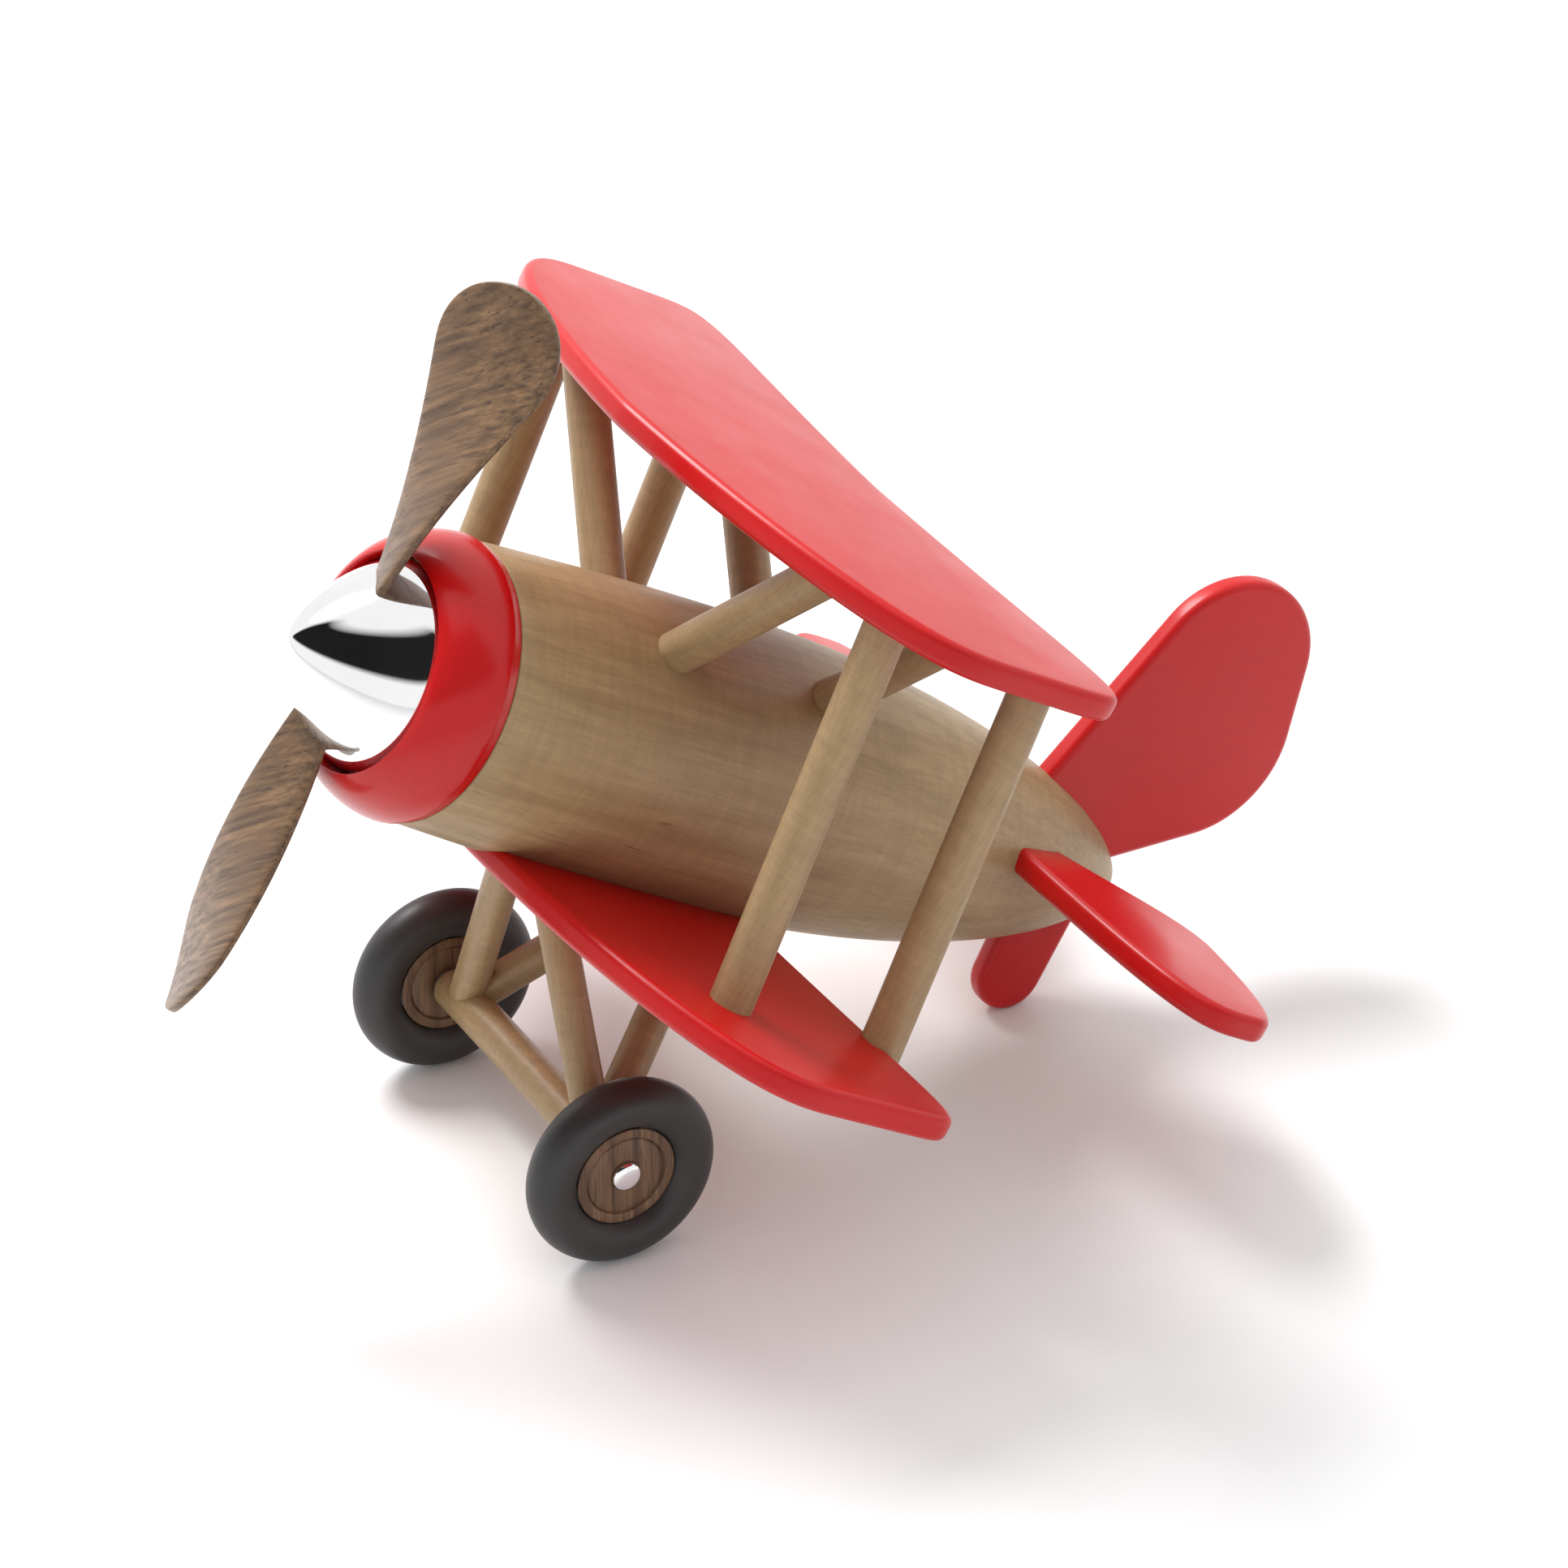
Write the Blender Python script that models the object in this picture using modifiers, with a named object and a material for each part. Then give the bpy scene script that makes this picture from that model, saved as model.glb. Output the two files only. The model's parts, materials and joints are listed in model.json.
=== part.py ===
"""Wooden toy biplane: turned fuselage, board wings and tail, dowel struts, spinning propeller and wheels.

Every piece is modelled in the airframe's own axes and hangs from one empty at the middle of the wheel
axle. In those axes +X points to the left wing tip, +Y runs aft along the fuselage and +Z points up
through the wings. The empty is pitched nose up, so that both wheels and the tail skid touch Z = 0.
"""

import math

import bmesh
import bpy
from mathutils import Matrix, Vector

MM = 0.001

# Clearances
GAP = 0.3 * MM  # between two pieces that are glued or rest on each other
RUN = 0.3 * MM  # around a pin that a piece spins on

# Stance
PITCH = math.radians(31.0)  # nose-up angle on the ground

# Wheels and axle
WHEEL_RADIUS = 22.5 * MM
TYRE_SECTION = 5.5 * MM  # radius of the round tyre
HALF_TRACK = 43.7 * MM  # airframe centre to tyre centre
HUB_HALF_WIDTH = 3.2 * MM
HUB_RIM = 2.3 * MM  # width of the raised rim round each face
HUB_RECESS = 0.4 * MM  # depth of the flat disc inside the rim
HUB_GROOVE = 0.5 * MM  # width of the groove between rim and disc
BEAM_RADIUS = 4.9 * MM
BEAM_TO_HUB = 2.0 * MM
WASHER_THICKNESS = 1.2 * MM
WASHER_RADIUS = 4.2 * MM
AXLE_PIN_RADIUS = 1.6 * MM
AXLE_PIN_DEPTH = 16.0 * MM  # length held in the beam
AXLE_HEAD_RADIUS = 3.5 * MM
AXLE_HEAD_HEIGHT = 1.4 * MM

# Fuselage, a turned body about an axis parallel to Y
FUSELAGE_Z = 81.5 * MM
FUSELAGE_RADIUS = 33.2 * MM
FUSELAGE_WIDEST_Y = -4.0 * MM
FUSELAGE_FRONT_Y = -73.4 * MM
FUSELAGE_TAIL_Y = 128.0 * MM
NOSE_RADIUS = 31.3 * MM
TAIL_POWERS = (2.1, 0.58)  # fullness of the tail and bluntness of its end

# Cowl ring round the nose
COWL_FRONT_Y = -90.5 * MM
COWL_INNER_RADIUS = 24.3 * MM
COWL_OUTER_RADIUS = 32.1 * MM
COWL_BULGE = 3.0 * MM  # widest ring ahead of the back edge
COWL_EDGE = 0.5 * MM  # rounding of the back edge
COWL_FULLNESS = 1.65  # 2 gives an elliptical nose, less a flatter one
SPIGOT_LENGTH = 11.0 * MM  # length of fuselage turned down to fit in the ring

# Propeller
SPINNER_BASE_Y = -88.0 * MM
SPINNER_TIP_Y = -110.5 * MM
SPINNER_RADIUS = 23.4 * MM
SPINNER_WALL = 1.6 * MM
SPINNER_POWERS = (1.15, 0.65)  # fullness of the sides and bluntness of the tip
BLADE_Y = -96.0 * MM
BLADE_LENGTH = 86.9 * MM  # propeller axis to blade tip
BLADE_TIP_RADIUS = 16.4 * MM
BLADE_ROOT = 4.8 * MM  # propeller axis to the inner end of the blade
BLADE_ROOT_HALF_WIDTH = 2.9 * MM
BLADE_THICKNESS = 2.4 * MM
BLADE_TWIST_ROOT = math.radians(-32.0)
BLADE_TWIST_TIP = math.radians(30.0)
BLADE_STATIONS = 12  # cross lines that let the flat of the blade twist
PROP_HUB_RADIUS = 9.0 * MM
PROP_HUB_FRONT = 7.0 * MM  # ahead of the blades
PROP_HUB_BACK = 9.0 * MM  # behind the blades
PROP_PIN_RADIUS = 2.0 * MM
PROP_PIN_DEPTH = 24.0 * MM  # length held in the fuselage
PROP_HEAD_RADIUS = 4.0 * MM
PROP_HEAD_HEIGHT = 2.0 * MM
PROP_SPACER_RADIUS = 4.5 * MM

# Boards: both wings, fin, stabilizer halves and tail skid
BOARD = 6.0 * MM
BOARD_ROUNDING = 1.9 * MM
UPPER_WING_TOP = 153.2 * MM  # on the centre line
UPPER_WING_ROLL = math.radians(1.7)  # the left tip sits low
UPPER_HALF_SPAN = 98.9 * MM
UPPER_LEAD_Y = -60.7 * MM
UPPER_TRAIL_Y = 12.2 * MM
LOWER_WING_TOP = 55.1 * MM
LOWER_HALF_SPAN = 109.1 * MM
LOWER_LEAD_Y = -50.6 * MM
LOWER_TRAIL_Y = 19.5 * MM
# A wing's plan: by the tip its leading edge has swept and its trailing edge has flared this far back, and
# this is where the tip lies, all in chords. The bow is the power of both curves. A corner of 2 is an
# ellipse, and a higher one is squarer.
UPPER_PLAN = dict(sweep=0.19, bow=1.3, flare=0.14, tip=0.64, front_corner=3.0, back_corner=9.0)
LOWER_PLAN = dict(sweep=0.17, bow=1.8, flare=0.08, tip=0.64, front_corner=3.5, back_corner=13.0)
STABILIZER_TOP = 90.7 * MM
STABILIZER_INNER_X = 6.0 * MM
STABILIZER_HALF_SPAN = 96.1 * MM
STABILIZER_LEAD_Y = 78.0 * MM
STABILIZER_CHORD = 36.5 * MM
STABILIZER_ROOT = 0.32  # width at the inner end, in chords
STABILIZER_SWELL = (0.55, 1.12)  # share of the length over which it widens, and its width there
STABILIZER_TIP = 0.59  # where the tip lies, in chords
STABILIZER_CORNERS = (4.0, 2.0)  # front and back
SKID_Y = 114.3 * MM
SKID_RADIUS = 8.8 * MM
SKID_TOP = 73.0 * MM
SKID_ROOT = 1.15  # forward reach of the top, in skid radii
FIN_CROWN = (129.7 * MM, 139.9 * MM)  # middle (Y, Z) of the round top
FIN_CROWN_RADIUS = 22.5 * MM
FIN_HEEL = (130.9 * MM, 121.7 * MM)  # middle of the round back
FIN_HEEL_RADIUS = 26.5 * MM
FIN_FEET = ((92.0 * MM, 94.7 * MM), (106.2 * MM, 76.9 * MM))  # front and back, inside the fuselage

# Dowels
STRUT_RADIUS = 4.9 * MM
LEG_RADIUS = 4.2 * MM
SOCKET_DEPTH = 3.0 * MM  # depth of each strut's end in a board
STRUT_X = 74.2 * MM
STRUT_LEAN = 0.115  # forward shift for each unit of height
FRONT_STRUT_Y = -13.7 * MM  # where the strut's line crosses Z = 0
REAR_STRUT_Y = 29.5 * MM
CABANE_TOP_X = 56.3 * MM  # at the underside of the upper wing
CABANE_SPLAY = 1.03
CABANE_DEPTH = 7.0 * MM  # length inside the fuselage
FRONT_CABANE_Y = -19.2 * MM
REAR_CABANE_Y = 24.8 * MM
LEG_FOOT_X = 32.4 * MM  # where the legs' lines cross the axle
LEG_TOP_X = 8.0 * MM  # at the underside of the lower wing
FRONT_LEG_TOP_Y = -27.5 * MM
REAR_LEG_TOP_Y = 16.0 * MM
LEG_SOCKET_DEPTH = 2.0 * MM
WING_PEG_RADIUS = 3.0 * MM
WING_PEG_LENGTH = 14.0 * MM
WING_PEG_DEPTH = 3.5 * MM  # length held in the wing
WING_PEG_YS = (-14.0 * MM, 4.0 * MM)

# Facets round a turned piece
FINE = 40
MEDIUM = 24
COARSE = 16

# Fineness of the curved edges and sections
CORNER_STEPS = 9  # round a board's corner
EDGE_STEPS = 4  # along the edge before it
FIN_STEPS = 32  # round each of the fin's circles
BOARD_ROUNDING_STEPS = 2
BLADE_TIP_STEPS = 14
SKID_STEPS = (7, 5)  # ahead of the lowest point and behind it
BARREL_STEPS = 4  # from the fuselage's front to its widest point
TAIL_STEPS = 11
COWL_STEPS = 7
SPINNER_STEPS = 9
SPINNER_SPACING = 1.6  # over 1 crowds the steps toward the tip
SPINNER_WALL_STEPS = 4
PIN_HEAD_STEPS = 4
TYRE_SECTION_FACETS = 12
HUB_SEAT_STEPS = 2  # from the hub's edge to the middle of the tyre's seat
MARCH = 0.25 * MM  # step of the walk that finds where a strut enters the fuselage

SHARP_TURNED = 35.0  # degrees between two faces that keeps their edge sharp
SHARP_BLADE = 50.0
SHARP_BOARD = 60.0
MERGE = 0.01 * MM
HULL_DIGITS = 7  # decimals, in metres, to which two points are the same
FLAT_JOINT = math.radians(0.5)  # edges flatter than this are dissolved
ROUNDED_CORNER = math.radians(50)  # corners over this are rounded


# ---------------------------------------------------------------- scene helpers


def clear_scene():
    for obj in list(bpy.data.objects):
        bpy.data.objects.remove(obj, do_unlink=True)


def new_collection(name):
    collection = bpy.data.collections.new(name)
    bpy.context.scene.collection.children.link(collection)
    return collection


def new_material(name, colour, roughness, metallic=0.0):
    material = bpy.data.materials.new(name)
    material.use_nodes = True
    shader = material.node_tree.nodes["Principled BSDF"]
    shader.inputs["Base Color"].default_value = (*colour, 1.0)
    shader.inputs["Roughness"].default_value = roughness
    shader.inputs["Metallic"].default_value = metallic
    return material


clear_scene()
PARTS = new_collection("toy_biplane")
CUTTERS = new_collection("cutters")


def new_empty(name, parent=None, location=(0, 0, 0), rotation=(0, 0, 0)):
    empty = bpy.data.objects.new(name, None)
    PARTS.objects.link(empty)
    empty.parent = parent
    empty.location = location
    empty.rotation_euler = rotation
    return empty


AIRFRAME = new_empty("airframe_axes", rotation=(-PITCH, 0, 0))
PROPELLER = new_empty("propeller_axis", AIRFRAME, (0, BLADE_Y, FUSELAGE_Z))
SIDES = ((1, "left"), (-1, "right"))
WHEELS = {
    side: new_empty(f"wheel_axis_{word}", AIRFRAME, (side * HALF_TRACK, 0, 0)) for side, word in SIDES
}

WOOD = dict(name="light_wood", colour=(0.40, 0.26, 0.14), roughness=0.45)
WALNUT = dict(name="walnut", colour=(0.20, 0.11, 0.06), roughness=0.4)
RED = dict(name="red_paint", colour=(0.62, 0.01, 0.012), roughness=0.28)
RUBBER = dict(name="black_rubber", colour=(0.045, 0.045, 0.045), roughness=0.6)
CHROME = dict(name="chrome", colour=(0.85, 0.85, 0.85), roughness=0.05, metallic=1.0)
STEEL = dict(name="steel", colour=(0.55, 0.55, 0.56), roughness=0.3, metallic=1.0)


def as_part(obj, parent, finish):
    """Puts a finished object in the model, with a material of its own."""
    PARTS.objects.link(obj)
    obj.parent = parent
    settings = dict(finish)
    settings["name"] = f"{obj.name}_{finish['name']}"
    obj.data.materials.append(new_material(**settings))
    return obj


def as_cutter(obj, parent):
    CUTTERS.objects.link(obj)
    obj.parent = parent
    obj.hide_render = True
    obj.display_type = "WIRE"
    return obj


def cut(obj, cutter):
    modifier = obj.modifiers.new(f"cut {cutter.name}", "BOOLEAN")
    modifier.operation = "DIFFERENCE"
    modifier.solver = "EXACT"
    modifier.object = cutter


def object_from(name, bm):
    mesh = bpy.data.meshes.new(name)
    bm.to_mesh(mesh)
    bm.free()
    return bpy.data.objects.new(name, mesh)


def smooth(obj, angle=SHARP_TURNED):
    obj.data.shade_smooth()
    obj.data.set_sharp_from_angle(angle=math.radians(angle))


# ---------------------------------------------------------------- shape helpers


def cylinder(name, start, end, radius, segments, start_plane=None, end_plane=None):
    """A cylinder from start to end. An end with a plane is cut at that height across Z, not square."""
    start, end = Vector(start), Vector(end)
    along = end - start
    bm = bmesh.new()
    bmesh.ops.create_cone(
        bm, cap_ends=True, segments=segments, radius1=radius, radius2=radius, depth=along.length
    )
    place = Matrix.Translation((start + end) / 2) @ along.to_track_quat("Z", "Y").to_matrix().to_4x4()
    bm.transform(place)
    middle = (start + end) / 2
    for height, at_end in ((start_plane, False), (end_plane, True)):
        if height is None:
            continue
        for vertex in bm.verts:
            if ((vertex.co - middle).dot(along) > 0) == at_end:
                vertex.co += along * ((height - vertex.co.z) / along.z)
    obj = object_from(name, bm)
    smooth(obj)
    return obj


def turned(name, profile, segments, closed=False):
    """A solid turned about Z from (radius, height) points that run from the top down the outer side."""
    bm = bmesh.new()
    points = [bm.verts.new((radius, 0, height)) for radius, height in profile]
    for first, second in zip(points, points[1:]):
        bm.edges.new((first, second))
    if closed:
        bm.edges.new((points[-1], points[0]))
    obj = object_from(name, bm)
    screw = obj.modifiers.new("turn", "SCREW")
    screw.angle = math.tau
    screw.steps = screw.render_steps = segments
    screw.use_merge_vertices = True
    screw.merge_threshold = MERGE
    return obj


FORWARD = (math.pi / 2, 0, 0)  # turns +Z to point along -Y, out of the nose
SIDEWAYS = {1: (0, math.pi / 2, 0), -1: (0, -math.pi / 2, 0)}  # turns +Z outboard
UPRIGHT = (math.pi / 2, 0, math.pi / 2)  # turns the XY plane into the YZ plane


def arc(centre, radius, start, end, steps):
    return [
        Vector((centre[0] + radius * math.cos(angle), centre[1] + radius * math.sin(angle)))
        for angle in (start + (end - start) * step / steps for step in range(steps + 1))
    ]


def hull(points):
    """The anticlockwise outline that runs tightly round the points."""
    ordered = sorted({(round(point.x, HULL_DIGITS), round(point.y, HULL_DIGITS)) for point in points})
    outline = []
    for run in (ordered, ordered[::-1]):
        chain = []
        for point in (Vector(place) for place in run):
            while len(chain) > 1 and (chain[-1] - chain[-2]).cross(point - chain[-1]) <= 0:
                chain.pop()
            chain.append(point)
        outline += chain[:-1]
    return outline


def grown(outline, distance):
    """The anticlockwise outline moved outward by a distance."""
    moved = []
    for before, point, after in zip(outline[-1:] + outline[:-1], outline, outline[1:] + outline[:1]):
        first, second = (point - before).normalized(), (after - point).normalized()
        normals = Vector((first.y, -first.x)) + Vector((second.y, -second.x))
        moved.append(point + normals * (2 * distance / normals.length_squared))
    return moved


def slab(name, outline, thickness):
    """A flat closed mesh from an outline in the XY plane, as thick as stated and centred on the plane."""
    curve = bpy.data.curves.new(name, "CURVE")
    curve.dimensions = "2D"
    curve.fill_mode = "BOTH"
    curve.extrude = thickness / 2
    spline = curve.splines.new("POLY")
    spline.points.add(len(outline) - 1)
    for place, point in zip(spline.points, outline):
        place.co = (point.x, point.y, 0, 1)
    spline.use_cyclic_u = True
    source = bpy.data.objects.new(name + "_outline", curve)
    CUTTERS.objects.link(source)
    mesh = bpy.data.meshes.new_from_object(source.evaluated_get(bpy.context.evaluated_depsgraph_get()))
    bpy.data.objects.remove(source, do_unlink=True)
    bm = bmesh.new()
    bm.from_mesh(mesh)
    bpy.data.meshes.remove(mesh)
    bmesh.ops.remove_doubles(bm, verts=bm.verts, dist=MERGE)
    bmesh.ops.dissolve_limit(bm, angle_limit=FLAT_JOINT, verts=bm.verts, edges=bm.edges)
    bmesh.ops.recalc_face_normals(bm, faces=bm.faces)
    return object_from(name, bm)


def board(name, outline, location, rotation=(0, 0, 0), let_into=None):
    """A painted board with rounded edges, and a slot for it in the piece that it is let into."""
    piece = slab(name, outline, BOARD)
    bevel = piece.modifiers.new("rounded edges", "BEVEL")
    bevel.width = BOARD_ROUNDING
    bevel.segments = BOARD_ROUNDING_STEPS
    bevel.limit_method = "ANGLE"
    bevel.angle_limit = ROUNDED_CORNER
    as_part(piece, AIRFRAME, RED)
    piece.location = location
    piece.rotation_euler = rotation
    smooth(piece, SHARP_BOARD)
    if let_into:
        slot = as_cutter(slab(name + "_slot", grown(outline, GAP), BOARD + 2 * GAP), AIRFRAME)
        slot.location = location
        slot.rotation_euler = rotation
        cut(let_into, slot)
    return piece


# ---------------------------------------------------------------- fuselage and cowl


def fuselage_radius(y):
    if y < FUSELAGE_WIDEST_Y:
        share = (FUSELAGE_WIDEST_Y - y) / (FUSELAGE_WIDEST_Y - FUSELAGE_FRONT_Y)
        return FUSELAGE_RADIUS - (FUSELAGE_RADIUS - NOSE_RADIUS) * share**2
    share = (y - FUSELAGE_WIDEST_Y) / (FUSELAGE_TAIL_Y - FUSELAGE_WIDEST_Y)
    power, root = TAIL_POWERS
    return FUSELAGE_RADIUS * max(1 - share**power, 0) ** root


def make_fuselage():
    front = FUSELAGE_FRONT_Y
    spigot = COWL_INNER_RADIUS - GAP
    profile = [(0, SPIGOT_LENGTH - front), (spigot, SPIGOT_LENGTH - front), (spigot, -front)]
    for step in range(BARREL_STEPS):
        y = front + (FUSELAGE_WIDEST_Y - front) * step / BARREL_STEPS
        profile.append((fuselage_radius(y), -y))
    for step in range(TAIL_STEPS):
        share = math.sin(math.pi / 2 * step / TAIL_STEPS)
        y = FUSELAGE_WIDEST_Y + (FUSELAGE_TAIL_Y - FUSELAGE_WIDEST_Y) * share
        profile.append((fuselage_radius(y), -y))
    profile.append((0, -FUSELAGE_TAIL_Y))
    body = as_part(turned("fuselage", profile, FINE), AIRFRAME, WOOD)
    body.location = (0, 0, FUSELAGE_Z)
    body.rotation_euler = FORWARD
    return body


def make_cowl_ring():
    back = FUSELAGE_FRONT_Y - GAP
    bulge_y = back - COWL_BULGE
    depth = bulge_y - COWL_FRONT_Y
    rise = COWL_OUTER_RADIUS - COWL_INNER_RADIUS
    power = 2 / COWL_FULLNESS
    profile = [(COWL_INNER_RADIUS, -COWL_FRONT_Y)]
    for step in range(1, COWL_STEPS):
        angle = math.pi / 2 * step / COWL_STEPS
        out, ahead = math.sin(angle) ** power, math.cos(angle) ** power
        profile.append((COWL_INNER_RADIUS + rise * out, -bulge_y + depth * ahead))
    profile += [(COWL_OUTER_RADIUS, -bulge_y), (COWL_OUTER_RADIUS - COWL_EDGE, -back)]
    profile.append((COWL_INNER_RADIUS, -back))
    ring = as_part(turned("cowl_ring", profile, FINE, closed=True), AIRFRAME, RED)
    ring.location = (0, 0, FUSELAGE_Z)
    ring.rotation_euler = FORWARD


# ---------------------------------------------------------------- propeller


def spinner_radius(y):
    share = (SPINNER_BASE_Y - y) / (SPINNER_BASE_Y - SPINNER_TIP_Y)
    power, root = SPINNER_POWERS
    return SPINNER_RADIUS * max(1 - share**power, 0) ** root


def blade_slab(name, clearance):
    """A teardrop blade that stands along +Z of the propeller, flat in XZ and twisted about Z."""
    slope = (BLADE_TIP_RADIUS - BLADE_ROOT_HALF_WIDTH) / (BLADE_LENGTH - BLADE_TIP_RADIUS - BLADE_ROOT)
    lean = math.atan(slope)
    centre = (0, BLADE_LENGTH - BLADE_TIP_RADIUS)
    outline = arc(centre, BLADE_TIP_RADIUS, -lean, math.pi + lean, BLADE_TIP_STEPS)
    outline += [Vector((-BLADE_ROOT_HALF_WIDTH, BLADE_ROOT)), Vector((BLADE_ROOT_HALF_WIDTH, BLADE_ROOT))]
    obj = slab(name, grown(outline, clearance) if clearance else outline, BLADE_THICKNESS + 2 * clearance)
    bm = bmesh.new()
    bm.from_mesh(obj.data)
    for station in range(1, BLADE_STATIONS):
        height = BLADE_ROOT + (BLADE_LENGTH - BLADE_ROOT) * station / BLADE_STATIONS
        geometry = bm.verts[:] + bm.edges[:] + bm.faces[:]
        bmesh.ops.bisect_plane(bm, geom=geometry, plane_co=(0, height, 0), plane_no=(0, 1, 0))
    for vertex in bm.verts:
        share = (vertex.co.y - BLADE_ROOT) / (BLADE_LENGTH - BLADE_ROOT)
        twist = BLADE_TWIST_ROOT + (BLADE_TWIST_TIP - BLADE_TWIST_ROOT) * share
        x, height, off = vertex.co
        vertex.co = (
            x * math.cos(twist) + off * math.sin(twist),
            x * math.sin(twist) - off * math.cos(twist),
            height,
        )
    bm.to_mesh(obj.data)
    bm.free()
    return obj


def make_propeller():
    cavity_y = BLADE_Y - PROP_HUB_FRONT - GAP
    profile = []
    for step in range(SPINNER_STEPS + 1):
        share = (step / SPINNER_STEPS) ** SPINNER_SPACING
        y = SPINNER_TIP_Y + (SPINNER_BASE_Y - SPINNER_TIP_Y) * share
        profile.append((spinner_radius(y), BLADE_Y - y))
    for step in range(SPINNER_WALL_STEPS + 1):
        y = SPINNER_BASE_Y + (cavity_y - SPINNER_BASE_Y) * step / SPINNER_WALL_STEPS
        profile.append((spinner_radius(y) - SPINNER_WALL, BLADE_Y - y))
    profile.append((0, BLADE_Y - cavity_y))
    spinner = as_part(turned("spinner", profile, FINE), PROPELLER, CHROME)
    spinner.rotation_euler = FORWARD

    bore = PROP_PIN_RADIUS + RUN
    recess = PROP_HEAD_RADIUS + RUN
    floor = PROP_HUB_FRONT - PROP_HEAD_HEIGHT - 2 * RUN
    profile = [(bore, floor), (recess, floor), (recess, PROP_HUB_FRONT), (PROP_HUB_RADIUS, PROP_HUB_FRONT)]
    profile += [(PROP_HUB_RADIUS, -PROP_HUB_BACK), (bore, -PROP_HUB_BACK)]
    hub = as_part(turned("propeller_hub", profile, MEDIUM, closed=True), PROPELLER, WALNUT)
    hub.rotation_euler = FORWARD

    for turn, word in ((0, "a"), (math.pi, "b")):
        blade = as_part(blade_slab(f"propeller_blade_{word}", 0), PROPELLER, WALNUT)
        slot = as_cutter(blade_slab(f"propeller_blade_{word}_slot", GAP), PROPELLER)
        for obj in (blade, slot):
            obj.rotation_euler = (0, turn, 0)
            smooth(obj, SHARP_BLADE)
        cut(spinner, slot)
        cut(hub, slot)


def make_propeller_mounting(fuselage):
    """The fixed pin that the propeller spins on, and the washer that spaces it off the nose."""
    head_y = BLADE_Y - PROP_HUB_FRONT + PROP_HEAD_HEIGHT + RUN
    nose_y = FUSELAGE_FRONT_Y - SPIGOT_LENGTH
    tip_y = nose_y + PROP_PIN_DEPTH
    profile = [(0, PROP_HEAD_HEIGHT), (PROP_HEAD_RADIUS, PROP_HEAD_HEIGHT), (PROP_HEAD_RADIUS, 0)]
    profile += [(PROP_PIN_RADIUS, 0), (PROP_PIN_RADIUS, head_y - tip_y), (0, head_y - tip_y)]
    pin = as_part(turned("propeller_pin", profile, COARSE), AIRFRAME, STEEL)
    pin.location = (0, head_y, FUSELAGE_Z)
    pin.rotation_euler = FORWARD
    hole = cylinder(
        "propeller_pin_hole",
        (0, nose_y - MM, FUSELAGE_Z),
        (0, tip_y + GAP, FUSELAGE_Z),
        PROP_PIN_RADIUS + GAP,
        COARSE,
    )
    cut(fuselage, as_cutter(hole, AIRFRAME))
    front, back = BLADE_Y + PROP_HUB_BACK + RUN, nose_y - GAP
    bore = PROP_PIN_RADIUS + RUN
    profile = [(bore, -front), (PROP_SPACER_RADIUS, -front), (PROP_SPACER_RADIUS, -back), (bore, -back)]
    washer = as_part(turned("propeller_washer", profile, COARSE, closed=True), AIRFRAME, STEEL)
    washer.location = (0, 0, FUSELAGE_Z)
    washer.rotation_euler = FORWARD


# ---------------------------------------------------------------- wings and tail


def edge_to_tip(edge, tip, corner):
    """(share of length, share of chord) from the root along an edge, and round its corner to the tip."""
    turns = [math.pi / 2 * step / CORNER_STEPS for step in range(1, CORNER_STEPS + 1)]
    shares = [math.sin(turn) ** (2 / corner) for turn in turns]
    shares = [shares[0] * step / EDGE_STEPS for step in range(EDGE_STEPS)] + shares
    return [(u, tip + (edge(u) - tip) * max(1 - u**corner, 0) ** (1 / corner)) for u in shares]


def wing_outline(plan, half_span, lead_y, trail_y):
    bow = plan["bow"]
    front = edge_to_tip(lambda u: plan["sweep"] * u**bow, plan["tip"], plan["front_corner"])
    back = edge_to_tip(lambda u: 1 + plan["flare"] * u**bow, plan["tip"], plan["back_corner"])
    left = [Vector((half_span * u, lead_y + (trail_y - lead_y) * v)) for u, v in front + back[-2::-1]]
    return left + [Vector((-point.x, point.y)) for point in reversed(left[1:-1])]


def stabilizer_outline():
    swell_end, width = STABILIZER_SWELL

    def back_edge(u):
        share = min(u / swell_end, 1)
        return STABILIZER_ROOT + (width - STABILIZER_ROOT) * share**2 * (3 - 2 * share)

    front = edge_to_tip(lambda u: 0, STABILIZER_TIP, STABILIZER_CORNERS[0])
    back = edge_to_tip(back_edge, STABILIZER_TIP, STABILIZER_CORNERS[1])
    length = STABILIZER_HALF_SPAN - STABILIZER_INNER_X
    return [
        Vector((STABILIZER_INNER_X + length * u, STABILIZER_LEAD_Y + STABILIZER_CHORD * v))
        for u, v in front + back[::-1][1:]
    ]


def fin_outline():
    crown = arc(FIN_CROWN, FIN_CROWN_RADIUS, 0, math.tau, FIN_STEPS)
    heel = arc(FIN_HEEL, FIN_HEEL_RADIUS, 0, math.tau, FIN_STEPS)
    return hull(crown + heel + [Vector(foot) for foot in FIN_FEET])


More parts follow.
